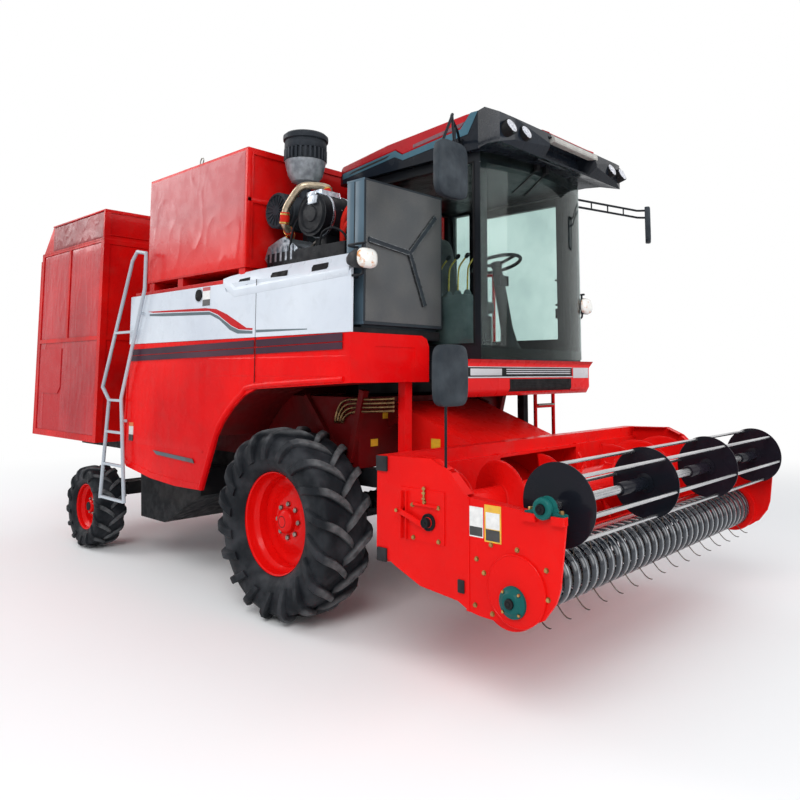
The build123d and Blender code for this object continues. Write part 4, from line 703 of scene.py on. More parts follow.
for side in (-1, 1):
    label = "right" if side < 0 else "left"
    ahead = side < 0
    strip(f"stripe_red_{label}", STRIPE_RED, side, 0.0012, stripe_red)
    strip(f"stripe_slate_{label}", STRIPE_SLATE, side, 0.0010, slate)
    if ahead:
        strip("stripe_tail", STRIPE_TAIL, side, 0.0010, slate)
    rolled = bmesh.new()
    add_tube(rolled, rounded_line([(x, side * (SIDE_Y - 0.003), z) for x, z in ARCH_LINE], 4), 0.019, 14)
    fit_piece(rolled, f"rolled_rim_{label}", "root", body_red, crease=60)
    ends = [(-2.036, -0.196), (-0.172, 0.72)] if ahead else [(-2.036, -0.196)]
    for piece, (x0, x1) in enumerate(ends):
        for line, (low, high) in enumerate(((0.055, 0.103), (0.006, 0.048))):
            z0 = 1.697 + 0.0159 * (x0 + 2.036)
            z1 = 1.697 + 0.0159 * (x1 + 2.036)
            rise = [(x0, z0 + low), (x1, z1 + low), (x1, z1 + high), (x0, z0 + high)]
            strip(f"band_{label}_{piece}_{line}", rise, side, 0.0010, plum)

# The sheet between the rolled rim and the bands is thin and has sprung into long upright waves.
WAVES = [  # low corner x and z, length, height, seed
    (-2.036, 1.02, 1.22, 0.665, 3.1),
    (-0.80, 1.58, 1.58, 0.13, 5.7),
]
waves = bmesh.new()
for side in (-1, 1):
    for x, z, length, tall, seed in WAVES[:1 if side > 0 else 2]:
        dented_sheet(waves, (x, side * (SIDE_Y - 0.006), z), (1, 0, 0), (0, 0, 1), (0, side, 0), length, tall,
                     creased(seed, 0.16, 0.62, 0.0048, 0.3), 80, 40)
fit_piece(waves, "panel_waves", "root", body_red, crease=60)

# The upright seam between the side panels is a narrow dark strip on each side.
black_gap = dusty("dark_gap", (0.006, 0.006, 0.007, 1), (0.012, 0.011, 0.011, 1), 0.7)
seams = bmesh.new()
for side in (-1, 1):
    y0, y1 = sorted((side * (SIDE_Y - 0.002), side * (SIDE_Y + 0.0008)))
    (x0, z0), (x1, z1) = PANEL_SEAM
    block(seams, (x0 - 0.0022, y0, z1), (x0 + 0.0022, y1, z0))
fit_piece(seams, "panel_seams", "root", black_gap)

# The white panel is folded inwards over its front length, and three air slots are cut in the slope.
# Each row is x, foot height and top height.
SHOULDER = [(-0.600, 2.286, 2.312), (-0.455, 2.193, 2.322), (-0.250, 2.2005, 2.330), (0.774, 2.2385, 2.338)]
SLOTS = [(-0.440, -0.290), (-0.050, 0.142), (0.390, 0.560)]
SLOPE_IN = 0.056


def on_slope(x, t, proud=0.0):
    """A place on the sloped fold, t of the way up it."""
    ahead = max(k for k in range(len(SHOULDER) - 1) if SHOULDER[k][0] <= x)
    (x0, f0, t0), (x1, f1, t1) = SHOULDER[ahead], SHOULDER[ahead + 1]
    s = (x - x0) / (x1 - x0)
    foot, top = f0 + (f1 - f0) * s, t0 + (t1 - t0) * s
    return x, -SIDE_Y - 0.0014 - proud + SLOPE_IN * t, foot + (top - foot) * t


shoulder, vents = bmesh.new(), bmesh.new()
rows = []
for x, foot, top in SHOULDER:
    knee = on_slope(x, 0.0) if x > -0.5 else (x, -SIDE_Y - 0.0014, foot)
    rows.append([shoulder.verts.new(p) for p in ((x, -SIDE_Y - 0.0002, foot - 0.050),
        (x, -SIDE_Y - 0.0014, foot - 0.049), knee, (x, -SIDE_Y - 0.0014 + SLOPE_IN, top),
        (x, -SIDE_Y + 0.12, top + 0.002))])
for near, far in zip(rows, rows[1:]):
    for j in range(4):
        shoulder.faces.new([near[j], far[j], far[j + 1], near[j + 1]])
shoulder.faces.new(rows[-1])
bevelled(shoulder, 0.002, 2, 20)
fit_piece(shoulder, "panel_shoulder", "root", panel_white, crease=50)
for x0, x1 in SLOTS:
    spots = [on_slope(x, t, 0.0015) for x, t in ((x0, 0.44), (x0 + 0.016, 0.20), (x1 - 0.006, 0.20),
        (x1, 0.32), (x1 - 0.016, 0.62), (x0 + 0.005, 0.62))]
    vents.faces.new([vents.verts.new(p) for p in spots])
fit_piece(vents, "shoulder_slots", "root", black_gap)

hole = bmesh.new()
turn(hole, [(0.0, -0.004), (0.044, -0.004), (0.046, 0.002), (0.051, 0.004), (0.053, 0.002), (0.053, 0.0)], 36,
     (-0.931, -SIDE_Y - 0.002, 2.190))
fit_piece(hole, "filler_hole", "root", black_gap)

# ------------------------------------------------------------------ blank notices on the body
# Printed vinyl plates where the real machine carries notices and a badge: plain coloured fields
# with nothing written on them.
PAPER_WHITE, PAPER_BLACK = (0.80, 0.80, 0.78, 1), (0.014, 0.014, 0.014, 1)
PAPER_YELLOW = (0.80, 0.47, 0.02, 1)
NOTICES = [  # name, x0, x1, z0, z1, heading, field, foot
    ("notice_filler", -0.876, -0.774, 2.105, 2.245, "red", "white", "black"),
    ("notice_rear", -1.985, -1.915, 1.040, 1.190, "orange", "white", "black"),
]
BADGE = [(-1.560, 0.988), (-0.952, 0.966), (-0.926, 0.936), (-1.500, 0.958)]


def printed(name, colour, thumbed):
    """Printed vinyl: an even ink with faint handling marks and a soft clear coat."""
    material, tree, shader = shader_of(name)
    plug(tree, shader, mottled(tree, 0.03, 6.0, colour, thumbed), spread(tree, cloud(tree, 0.02), 0.3, 0.5),
         relief(tree, cloud(tree, 0.008), 0.0003, 0.3))
    shader.inputs["Coat Weight"].default_value = 0.4
    return material


label_white = printed("label_white", PAPER_WHITE, (0.66, 0.66, 0.65, 1))
label_black = printed("label_black", PAPER_BLACK, (0.03, 0.03, 0.03, 1))
label_yellow = printed("label_yellow", PAPER_YELLOW, (0.66, 0.36, 0.02, 1))
label_red = printed("label_red", (0.45, 0.03, 0.04, 1), (0.36, 0.03, 0.04, 1))
label_orange = printed("label_orange", (0.80, 0.20, 0.03, 1), (0.66, 0.15, 0.03, 1))
INKS = {"red": label_red, "orange": label_orange, "white": label_white, "black": label_black}
for name, x0, x1, z0, z1, *fields in NOTICES:
    tall = z1 - z0
    for ink, (low, high) in zip(fields, ((0.80, 1.0), (0.34, 0.80), (0.0, 0.34))):
        sheet = bmesh.new()
        block(sheet, (x0, -SIDE_Y - 0.0022, z0 + tall * low), (x1, -SIDE_Y + 0.004, z0 + tall * high))
        fit_piece(sheet, f"{name}_{ink}", "root",
            INKS[ink])
strip("badge_strip", BADGE, -1, 0.0024, slate)
strip("badge_end", [(-1.060, 0.969), (-0.952, 0.965), (-0.926, 0.936), (-1.040, 0.941)], -1, 0.0034,
    label_black)
tags = bmesh.new()  # small yellow plates round the feeder
for low, high in (((0.400, -0.672, 1.108), (0.4022, -0.606, 1.156)),
        ((0.400, -0.560, 1.290), (0.4022, -0.488, 1.334))):
    block(tags, low, high)
fit_piece(tags, "body_tags", "root", label_yellow)
sleeve = bmesh.new()  # red guard round the right deck strut
block(sleeve, (0.6885, -0.7015, 0.975), (0.7515, -0.6385, 1.8195))
fit_piece(sleeve, "strut_guard", "root", body_red)

# ------------------------------------------------------------------ crop tank
# Folded 2 mm sheet welded in a frame of angle iron, enamelled red. Loads have sprung its sides into
# soft creases, which the sky picks out. A wire hook for the cover hangs on the top edge.
TANK_LOW, TANK_HIGH = (-1.840, -1.176, 2.360), (-0.382, 1.176, 3.245)
# The tank sheet's two colours are a rosy painted reflection of the sky; the frame's are its red enamel.
TANK_SKY_SHEEN, TANK_SKY_SHEEN_SHADE = (0.42, 0.030, 0.040, 1), (0.33, 0.020, 0.028, 1)
FRAME_RED, FRAME_SHADE = (0.66, 0.006, 0.005, 1), (0.42, 0.003, 0.004, 1)


def along_y(shape, outline, y0, y1):
    """Extrudes an outline in the XZ plane from y0 to y1 and closes its ends."""
    near = [shape.verts.new((x, y0, z)) for x, z in outline]
    far = [shape.verts.new((x, y1, z)) for x, z in outline]
    for k in range(len(outline)):
        n = (k + 1) % len(outline)
        shape.faces.new([near[k], near[n], far[n], far[k]])
    shape.faces.new(near)
    shape.faces.new(list(reversed(far)))


frame_red = sprayed("frame_enamel", FRAME_RED, FRAME_SHADE, 0.28, 0.08, 0.002, 0.5, 0.12)
tank_sheet_sky_sheen = sprayed("tank_sheet_sky_sheen", TANK_SKY_SHEEN, TANK_SKY_SHEEN_SHADE, 0.26, 0.12, 0.003, 0.5, 0.0, 0.14)
# The enamel keeps its red low down; toward the top its colour is a rosy painted reflection of the sky.
tree = tank_sheet_sky_sheen.node_tree
overlay(tank_sheet_sky_sheen, spread(tree, place_along(tree)["Z"], 1.0, 0.0, 2.42, 2.86), FRAME_RED)
soften("tank_deck", frame_red, 0.003)
soften("tank", frame_red, 0.003)

skins = bmesh.new()
(x0, y0, z0), (x1, y1, z1) = TANK_LOW, TANK_HIGH
for side, seed in ((-1, 2.3), (1, 9.1)):
    corner = (x0 + 0.004, side * 1.1755, z0 + 0.012)
    swell, fan = creased(seed, 0.42, 0.60, 0.0065, 0.35), creased(seed + 4, 0.15, 0.40, 0.0022, 0.5)

    def sprung(u, v, swell=swell, fan=fan):
        """Broad buckles over the whole side, with a fan of small pleats under the hook."""
        near_hook = math.exp(-((u - 0.81) / 0.30) ** 2 - ((v - 0.80) / 0.25) ** 2)
        corner_crumple = math.exp(-((u - 0.10) / 0.22) ** 2 - ((v - 0.62) / 0.30) ** 2)
        return swell(u, v) + fan(u, v) * (0.1 + near_hook + corner_crumple)

    dented_sheet(skins, corner, (1, 0, 0), (0, 0, 1), (0, side, 0), x1 - x0 - 0.030, z1 - z0 - 0.028,
        sprung, 150, 96)
fit_piece(skins, "tank_sides", "tank", tank_sheet_sky_sheen, crease=75)

rims = bmesh.new()  # folded top edge and corner angles
for side in (-1, 1):
    y_out, y_in = side * 1.1762, side * 1.140
    block(rims, (x0, min(y_out, y_in), z1 - 0.006), (x1, max(y_out, y_in), z1 + 0.0005))
    block(rims, (x1 - 0.024, min(y_out, side * 1.174), z0), (x1 - 0.001, max(y_out, side * 1.174), z1))
for x in (x0 + 0.0005, x1 - 0.034):
    block(rims, (x, y0, z1 - 0.006), (x + 0.0335, y1, z1 + 0.0005))
for y in (-1.155, 0.0, 1.155):  # ribs of the front end
    block(rims, (x1 - 0.006, y - 0.016, z0 + 0.02), (x1 + 0.0006, y + 0.016, z1 - 0.002))
block(rims, (x1 - 0.006, y0 + 0.004, 2.846), (x1 + 0.0006, y1 - 0.004, 2.874))
bevelled(rims, 0.0012, 2)
fit_piece(rims, "tank_edges", "tank", frame_red)

hook = bmesh.new()
add_tube(hook, rounded_line([(-1.050, -1.172, 3.215), (-1.050, -1.172, 3.262), (-1.032, -1.172, 3.288),
    (-1.008, -1.172, 3.284), (-1.004, -1.172, 3.262), (-1.018, -1.172, 3.236), (-1.022, -1.172, 3.214)], 5),
    0.005, 8)
fit_piece(hook, "cover_hook", "tank", zinc)

# ------------------------------------------------------------------ straw bin
# A tall box of thin sheet in a welded frame behind the tank, with a sunk panel in each bay, an
# embossed stiffener low on each side, and a darker dented band under the roof.
BIN_SHEET, BIN_SHEET_SHADE = (0.52, 0.020, 0.026, 1), (0.36, 0.008, 0.014, 1)
ROOF_BAND, ROOF_BAND_SHADE = (0.34, 0.016, 0.022, 1), (0.20, 0.008, 0.012, 1)
BIN_SIDE, BIN_SUNK = 1.196, 0.010
BAYS = [  # low corner x and z, length, height, seed
    (-4.132, 1.950, 0.662, 0.882, 1.3),
    (-3.430, 1.950, 0.686, 0.882, 4.9),
    (-4.132, 1.030, 0.150, 0.880, 7.7),
    (-3.560, 1.030, 0.816, 0.880, 8.3),
]

bin_sheet = sprayed("bin_sheet", BIN_SHEET, BIN_SHEET_SHADE, 0.24, 0.12, 0.004, 0.25, 0.0, 0.14)
band_sheet = sprayed("roof_band", ROOF_BAND, ROOF_BAND_SHADE, 0.30, 0.1, 0.004, 0.16, 0.0, 0.12)
bin_red = sprayed("bin_enamel", FRAME_RED, FRAME_SHADE, 0.28, 0.08, 0.002, 0.5, 0.12)
# The frame's red gives way to the sheet's in the low bays, which hold the stiffener.
tree = bin_red.node_tree
bay = place_along(tree)
inside = spread(tree, bay["X"], 0.0, 1.0, -4.134, -4.130)
for axis, low, high, first, last in (("X", 1.0, 0.0, -2.746, -2.742), ("Z", 0.0, 1.0, 1.028, 1.032),
        ("Z", 1.0, 0.0, 1.910, 1.914)):
    inside = product(tree, inside, spread(tree, bay[axis], low, high, first, last))
overlay(bin_red, inside, (0.46, 0.015, 0.020, 1))
soften("straw_bin", bin_red, 0.003)
soften("bin_tailgate", frame_red, 0.003)
panes, roofs = bmesh.new(), bmesh.new()
for side in (-1, 1):
    for x, z, length, tall, seed in BAYS:
        dented_sheet(panes, (x + 0.002, side * (BIN_SIDE - BIN_SUNK + 0.0005), z + 0.002), (1, 0, 0),
            (0, 0, 1), (0, side, 0), length - 0.004, tall - 0.004,
            creased(seed + side, 0.14, 0.75, 0.0045, 0.45), 70, 60)
    dented_sheet(roofs, (-3.930, side * (BIN_SIDE - 0.0138), 2.872), (1, 0, 0), (0, 0, 1), (0, side, 0),
        1.236, 0.262, creased(6.1 + side, 0.16, 0.20, 0.0045, 0.45), 110, 30)
fit_piece(panes, "bin_sheets", "root", bin_sheet, crease=75)
fit_piece(roofs, "bin_roof_bands", "root", band_sheet, crease=75)

frames = bmesh.new()  # gutter, corner and roof angles
for side in (-1, 1):
    out, low = side * BIN_SIDE, side * (BIN_SIDE - 0.020)
    block(frames, (-4.178, min(out, low), 2.846), (-2.686, max(out, low), 2.862))
    block(frames, (-3.930, min(out, low), 3.126), (-2.686, max(out, low), 3.1405))
    block(frames, (-2.714, min(out, low), 2.862), (-2.6845, max(out, low), 3.128))
for y0, y1, z0, z1 in ((-1.196, 1.196, 2.846, 2.864), (-1.196, 1.196, 2.896, 2.904),
        (-1.196, 1.196, 3.112, 3.140)):
    block(frames, (-2.690, y0, z0), (-2.6835, y1, z1))
bevelled(frames, 0.002, 2)
fit_piece(frames, "bin_frame_edges", "root", frame_red)

# ------------------------------------------------------------------ engine bay
# The engine stands open beside the cab: a black block with a cast fan cover, a round black housing,
# a cast charge pipe in red silicone sleeves and a paper-element filter under its glass pre-cleaner.
IRON, IRON_SHADE = (0.34, 0.38, 0.42, 1), (0.20, 0.22, 0.25, 1)
CHAMPAGNE, CHAMPAGNE_SHADE = (0.48, 0.40, 0.29, 1), (0.30, 0.24, 0.17, 1)
SILICONE, SILICONE_SHADE = (0.62, 0.020, 0.010, 1), (0.42, 0.010, 0.006, 1)
CLAMP, CLAMP_SHADE = (0.62, 0.45, 0.12, 1), (0.40, 0.28, 0.08, 1)
HOUSING = (0.190, -1.040, 2.680)  # centre of the round housing's outer face
FILTER = (-0.240, -1.030, 2.775)
PRE_CLEANER = (-0.185, -0.810)

black_plastic = moulded_rubber("black_plastic", (0.018, 0.019, 0.021, 1), (0.035, 0.036, 0.04, 1))
engine_black = dusty("engine_black", (0.008, 0.009, 0.011, 1), (0.022, 0.024, 0.028, 1), 0.4, 0.6)
cast_iron = bare_metal("cast_cover", IRON, IRON_SHADE, 0.42)
champagne = bare_metal("charge_pipe_alloy", CHAMPAGNE, CHAMPAGNE_SHADE, 0.32)
silicone = moulded_rubber("red_silicone", SILICONE, SILICONE_SHADE)
clamp_band = bare_metal("clamp_bands", CLAMP, CLAMP_SHADE, 0.3)
filter_black = moulded_rubber("filter_plastic", (0.020, 0.024, 0.030, 1), (0.045, 0.052, 0.062, 1))
soften("engine", engine_black, 0.006)
soften("engine_deck", chassis_black, 0.002)

cover = bmesh.new()  # fan cover and its bolts
outline = [(-0.332, 2.398), (-0.362, 2.430), (-0.322, 2.512), (-0.190, 2.552), (-0.133, 2.562),
    (-0.050, 2.514), (0.012, 2.472), (0.012, 2.398)]
along_y(cover, outline, -1.024, -0.798)
for k in range(5):
    x = -0.29 + 0.06 * k
    along_y(cover, [(x, 2.40), (x + 0.012, 2.40), (x + 0.012, 2.500), (x, 2.490)], -1.032, -1.020)
bevelled(cover, 0.005, 2, 25)
for x, z in ((-0.335, 2.432), (-0.300, 2.502), (-0.130, 2.540), (-0.004, 2.455)):
    hex_head(cover, (x, -1.023, z), (0, -1, 0), 0.016, 0.010)
fit_piece(cover, "fan_cover", "root", cast_iron, crease=40)

drum = bmesh.new()  # round housing's lid, bands and bracket
turn(drum, [(0.0, -0.012), (0.050, -0.012), (0.056, -0.004), (0.100, -0.004), (0.108, -0.014),
    (0.126, -0.014), (0.134, -0.002), (0.1515, -0.002), (0.1515, 0.010), (0.150, 0.012)], 64, HOUSING)
fit_piece(drum, "housing_lid", "root", engine_black)
bracket = bmesh.new()
for turned in (0.16, 0.33):
    turn(bracket, [(0.1505, turned), (0.1535, turned), (0.1535, turned + 0.022), (0.1505, turned + 0.022)],
        64, (HOUSING[0], HOUSING[1] - 0.10, HOUSING[2]), closed=True)
block(bracket, (0.170, -1.062, 2.745), (0.262, -1.040, 2.800))
block(bracket, (0.150, -1.056, 2.800), (0.240, -0.93, 2.8335))
along_y(bracket, [(0.115, 2.806), (0.275, 2.806), (0.262, 2.846), (0.125, 2.846)], -1.02, -0.86)
bevelled(bracket, 0.004, 2, 40)
fit_piece(bracket, "housing_bracket", "root",
    bare_metal("plated_bracket", (0.55, 0.60, 0.66, 1), (0.34, 0.37, 0.42, 1), 0.25))

tube_line("charge_pipe_dressed", [(0.190, -0.900, 2.846), (0.190, -0.905, 2.885), (0.150, -1.000, 2.893),
    (0.100, -1.068, 2.876), (0.010, -1.082, 2.800), (-0.045, -1.083, 2.735), (-0.066, -1.078, 2.650),
    (-0.100, -1.020, 2.612), (-0.180, -0.935, 2.600), (-0.190, -0.930, 2.565)], 0.0265, "root",
    champagne, 20)
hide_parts("charge_pipe")
sleeves, bands = bmesh.new(), bmesh.new()
for a, b in (((-0.052, -1.0825, 2.722), (-0.067, -1.078, 2.640)),
        ((0.190, -0.902, 2.838), (0.186, -0.915, 2.889)),
        ((-0.100, -1.020, 2.612), (-0.186, -0.932, 2.596))):
    a, b = Vector(a), Vector(b)
    add_tube(sleeves, [a, a.lerp(b, 0.15), a.lerp(b, 0.5), a.lerp(b, 0.85), b],
        [0.031, 0.0325, 0.0335, 0.0325, 0.031], 24)
    for t in (0.10, 0.82):
        add_tube(bands, [a.lerp(b, t), a.lerp(b, t + 0.13)], 0.0345, 24)
fit_piece(sleeves, "charge_sleeves", "root", silicone, crease=50)
fit_piece(bands, "charge_clamps", "root", clamp_band)

cleaner = bmesh.new()  # filter canister with its ribbed cap
turn(cleaner, [(0.0, 0.455), (0.060, 0.468), (0.118, 0.468), (0.130, 0.455), (0.130, 0.150),
    (0.1315, 0.148), (0.1315, 0.075), (0.122, 0.068), (0.122, 0.056), (0.1315, 0.050), (0.1315, 0.012),
    (0.126, 0.004), (0.112, 0.002), (0.108, 0.014), (0.040, 0.016), (0.036, 0.004), (0.0, 0.004)], 72,
    FILTER)
for k in range(16):
    a = 2 * math.pi * k / 16
    arm = Vector((math.cos(a), 0, math.sin(a)))
    across = Vector((-arm.z, 0, arm.x)) * 0.004
    spots = [Vector(FILTER) + arm * r + across * s + Vector((0, w, 0))
        for r, s, w in ((0.036, -1, 0.018), (0.110, -1, 0.018), (0.110, 1, 0.018), (0.036, 1, 0.018),
        (0.036, -1, 0.004), (0.110, -1, 0.003), (0.110, 1, 0.003), (0.036, 1, 0.004))]
    v = [cleaner.verts.new(s) for s in spots]
    for quad in ((4, 5, 6, 7), (0, 1, 5, 4), (1, 2, 6, 5), (2, 3, 7, 6), (3, 0, 4, 7)):
        cleaner.faces.new([v[j] for j in quad])
for angle in (40, 160, 280):  # snap clips
    a = math.radians(angle)
    c = (FILTER[0] + 0.1315 * math.cos(a), FILTER[2] + 0.1315 * math.sin(a))
    turn_by = Matrix.Rotation(-a, 3, "Y")
    block(cleaner, (c[0] - 0.004, FILTER[1] + 0.020, c[1] - 0.014),
        (c[0] + 0.0015, FILTER[1] + 0.090, c[1] + 0.014), turn_by, (c[0], FILTER[1], c[1]))
block(cleaner, (-0.268, -0.758, 2.455), (-0.212, -0.642, 2.700))
x, y = PRE_CLEANER
turn(cleaner, [(0.0, 2.795), (0.046, 2.795), (0.046, 2.960), (0.060, 2.985), (0.052, 3.000), (0.0, 3.000)],
    40, (x, y, 0), "Z")
for k in range(28):  # vanes behind the bowl's wall
    a = 2 * math.pi * k / 28
    turn_by = Matrix.Rotation(a, 3, "Z")
    block(cleaner, (x + 0.120, y - 0.0075, 3.168), (x + 0.1585, y + 0.0075, 3.252), turn_by, (x, y, 0))
turn(cleaner, [(0.0, 3.150), (0.148, 3.150), (0.152, 3.168), (0.140, 3.170), (0.140, 3.250), (0.150, 3.252),
    (0.156, 3.262), (0.156, 3.300), (0.152, 3.304), (0.152, 3.316), (0.166, 3.322), (0.1675, 3.340),
    (0.166, 3.356), (0.158, 3.362), (0.150, 3.3705), (0.060, 3.3705), (0.0, 3.3695)], 72, (x, y, 0), "Z")
fit_piece(cleaner, "air_cleaner_dressed", "root", filter_black, ("air_cleaner",), 34)

smoky, tree, shader = shader_of("smoky_bowl")
plug(tree, shader, mottled(tree, 0.05, 5.0, (0.44, 0.47, 0.50, 1), (0.22, 0.24, 0.27, 1)),
     spread(tree, cloud(tree, 0.02), 0.10, 0.22))
shader.inputs["Transmission Weight"].default_value = 0.35
cone = bmesh.new()
turn(cone, [(0.052, 2.992), (0.100, 3.012), (0.128, 3.060), (0.146, 3.130), (0.1505, 3.152),
    (0.1535, 3.164), (0.150, 3.166), (0.142, 3.132), (0.122, 3.064), (0.094, 3.018), (0.050, 2.998)], 64,
    (x, y, 0), "Z", closed=True)
fit_piece(cone, "dust_bowl", "root", smoky)

strut = bmesh.new()  # gas strut of the bonnet
add_tube(strut, [(0.338, -0.900, 2.709), (0.132, -0.900, 2.568)], 0.006, 12)
add_tube(strut, [(0.132, -0.900, 2.568), (-0.034, -0.900, 2.455)], 0.011, 14)
fit_piece(strut, "bonnet_strut", "root", zinc)
hoses = bmesh.new()
for line, size in (([(0.330, -0.880, 2.450), (0.360, -0.900, 2.640), (0.430, -0.880, 2.740),
        (0.520, -0.800, 2.800), (0.600, -0.700, 2.812)], 0.022),
        ([(0.420, -0.950, 2.455), (0.450, -0.960, 2.580), (0.520, -0.900, 2.650), (0.628, -0.820, 2.660)],
        0.014)):
    add_tube(hoses, rounded_line(line, 6), size, 16)
fit_piece(hoses, "coolant_hoses", "root", silicone, crease=60)
pipes = bmesh.new()
for line in ([(0.250, -1.020, 2.460), (0.300, -1.035, 2.540), (0.400, -1.030, 2.560),
        (0.470, -1.000, 2.520), (0.480, -0.960, 2.455)],
        [(-0.080, -1.020, 2.455), (-0.020, -1.040, 2.590), (0.020, -1.035, 2.660), (0.052, -1.030, 2.680)]):
    add_tube(pipes, rounded_line(line, 5), 0.008, 10)
fit_piece(pipes, "fuel_pipes", "root", engine_black, crease=60)

# ------------------------------------------------------------------ radiator screen
# A folded steel box ahead of the engine with a fine woven screen on its front. Three channels in the
# shape of a Y brace the screen, and bluish galvanised strips close its sides.
SCREEN_GREY, SCREEN_DARK = (0.105, 0.110, 0.115, 1), (0.034, 0.037, 0.040, 1)
STEEL_BLUE, STEEL_BLUE_SHADE = (0.085, 0.135, 0.175, 1), (0.050, 0.080, 0.105, 1)


def cells(tree, scale, uneven=1.0):
    """How far a point lies from the middle of its cell, where cells fill the object's own space."""
    grid = tree.nodes.new("ShaderNodeTexVoronoi")
    grid.inputs["Scale"].default_value = scale
    grid.inputs["Randomness"].default_value = uneven
    tree.links.new(place_on(tree), grid.inputs["Vector"])
    return grid.outputs["Distance"]


woven, tree, shader = shader_of("woven_screen")
opening = cells(tree, 190, 0.25)
wire = two_shades(tree, spread(tree, opening, 0.0, 1.0, 0.25, 0.50), SCREEN_DARK, SCREEN_GREY)
tree.links.new(mottled(tree, 0.20, 8.0, SCREEN_GREY, (0.150, 0.152, 0.150, 1)), wire.node.inputs["B"])
plug(tree, shader, wire, spread(tree, cloud(tree, 0.1), 0.5, 0.7), relief(tree, opening, 0.0015, 0.6))
shader.inputs["Specular IOR Level"].default_value = 0.2

cowl_paint = sprayed("cowl_paint", (0.030, 0.038, 0.046, 1), (0.020, 0.024, 0.030, 1), 0.4)
steel_blue = sprayed("steel_blue", STEEL_BLUE, STEEL_BLUE_SHADE, 0.35, 0.1, 0.002, 0.3)
soften("radiator_cowl", cowl_paint, 0.003)
screen = bmesh.new()
block(screen, (0.7925, -1.098, 1.920), (0.7950, -0.400, 2.795))
fit_piece(screen, "radiator_screen", "root", woven)
sides = bmesh.new()
for x0, x1 in ((0.636, 0.700), (0.712, 0.790)):
    block(sides, (x0, -1.1155, 1.905), (x1, -1.112, 2.805))
block(sides, (0.632, -1.1158, 1.899), (0.796, -1.1135, 1.915))
block(sides, (0.632, -1.1158, 2.795), (0.796, -1.1135, 2.8093))
bevelled(sides, 0.0015, 2)
fit_piece(sides, "cowl_sides", "root", steel_blue)
stays = bmesh.new()
hub = Vector((0.803, -0.720, 2.381))
for spot in ((0.803, -0.467, 2.660), (0.803, -0.575, 2.043), (0.803, -1.083, 2.423)):
    along = (Vector(spot) - hub).normalized()
    across = along.cross(Vector((1, 0, 0))) * 0.0172
    wall = across.normalized() * 0.004
    for rim in (across, -across):  # a channel: two flanges on a web
        inner = rim - wall if rim is across else rim + wall
        v = [stays.verts.new(p + Vector((d, 0, 0))) for d in (-0.009, 0.0095) for p in
             (hub + rim, Vector(spot) + rim, Vector(spot) + inner, hub + inner)]
        for quad in ((0, 1, 2, 3), (4, 7, 6, 5), (0, 4, 5, 1), (1, 5, 6, 2), (2, 6, 7, 3), (3, 7, 4, 0)):
            stays.faces.new([v[k] for k in quad])
fit_piece(stays, "screen_stays", "root",
    bare_metal("stay_steel", (0.20, 0.21, 0.22, 1), (0.07, 0.075, 0.08, 1), 0.3))

# ------------------------------------------------------------------ cab frame and glass
# A black steel cage with rolled pillars. The windscreen is one bowed sheet of green-tinted glass
# bonded over the pillars; the side, rear and door panes sit in black rubber seals.
GLASS_TINT, GLASS_DUST = (0.74, 0.86, 0.83, 1), (0.60, 0.72, 0.70, 1)
CAB_BLACK, CAB_BLACK_SHADE = (0.010, 0.012, 0.015, 1), (0.018, 0.021, 0.026, 1)
BOW_CENTRE, BOW_RADIUS, BOW_HALF = (-1.040, 0.254), 2.250, math.asin(0.630 / 2.250)

cab_black = sprayed("cab_black", CAB_BLACK, CAB_BLACK_SHADE, 0.35)
seal_rubber = moulded_rubber("seal_rubber", (0.008, 0.008, 0.009, 1), (0.016, 0.016, 0.017, 1))
glazing, tree, shader = shader_of("tinted_glass")
plug(tree, shader, mottled(tree, 0.5, 5.0, GLASS_TINT, GLASS_DUST),
    spread(tree, cloud(tree, 0.3, 4.0), 0.0, 0.03))
shader.inputs["Transmission Weight"].default_value = 1.0
shader.inputs["IOR"].default_value = 1.16

for name in ("cab_shell", "cab_base"):
    soften(name, cab_black, 0.008)
soften("cab_door", cab_black, 0.006)
soften("cab_door_glass", glazing, 0)

panes = bmesh.new()
steps = 28
edges = []
for radius in (BOW_RADIUS + 0.0085, BOW_RADIUS + 0.0030):
    line = []
    for k in range(steps + 1):
        a = -BOW_HALF + 2 * BOW_HALF * k / steps
        line.append((BOW_CENTRE[0] + radius * math.cos(a), BOW_CENTRE[1] + radius * math.sin(a)))
    edges.append(line)
loop = edges[0] + list(reversed(edges[1]))
low = [panes.verts.new((x, y, 1.702)) for x, y in loop]
high = [panes.verts.new((x, y, 3.078)) for x, y in loop]
for k in range(len(loop)):
    n = (k + 1) % len(loop)
    panes.faces.new([low[k], low[n], high[n], high[k]])
for ring in (low, high):
    for k in range(steps):
        panes.faces.new([ring[k], ring[k + 1], ring[-2 - k], ring[-1 - k]])
for a, b in (((-0.1195, -0.364, 1.8005), (1.0595, -0.358, 3.0095)),
        ((-0.1295, 0.866, 1.8005), (0.0595, 0.872, 3.0095)),
        ((-0.188, -0.2855, 2.2505), (-0.182, 0.7935, 3.0095))):
    block(panes, a, b)
fit_piece(panes, "cab_glazing", "root", glazing, ("cab_glass",), 40)


def seal(shape, low, high, out, wide=0.014, proud=0.005):
    """A rubber frame round a pane, in the plane that faces out; low and high are the opening's corners."""
    axis = 0 if out[0] else 1
    other = 1 - axis
    at = low[axis]
    near, far = sorted((at - 0.003 * out[axis], at + proud * out[axis]))
    for (u0, u1), (v0, v1) in (((low[other] - wide, high[other] + wide), (high[2], high[2] + wide)),
                               ((low[other] - wide, high[other] + wide), (low[2] - wide, low[2])),
                               ((low[other] - wide, low[other]), (low[2], high[2])),
                               ((high[other], high[other] + wide), (low[2], high[2]))):
        a, b = [0, 0, v0], [0, 0, v1]
        a[axis], b[axis], a[other], b[other] = near, far, u0, u1
        block(shape, a, b)


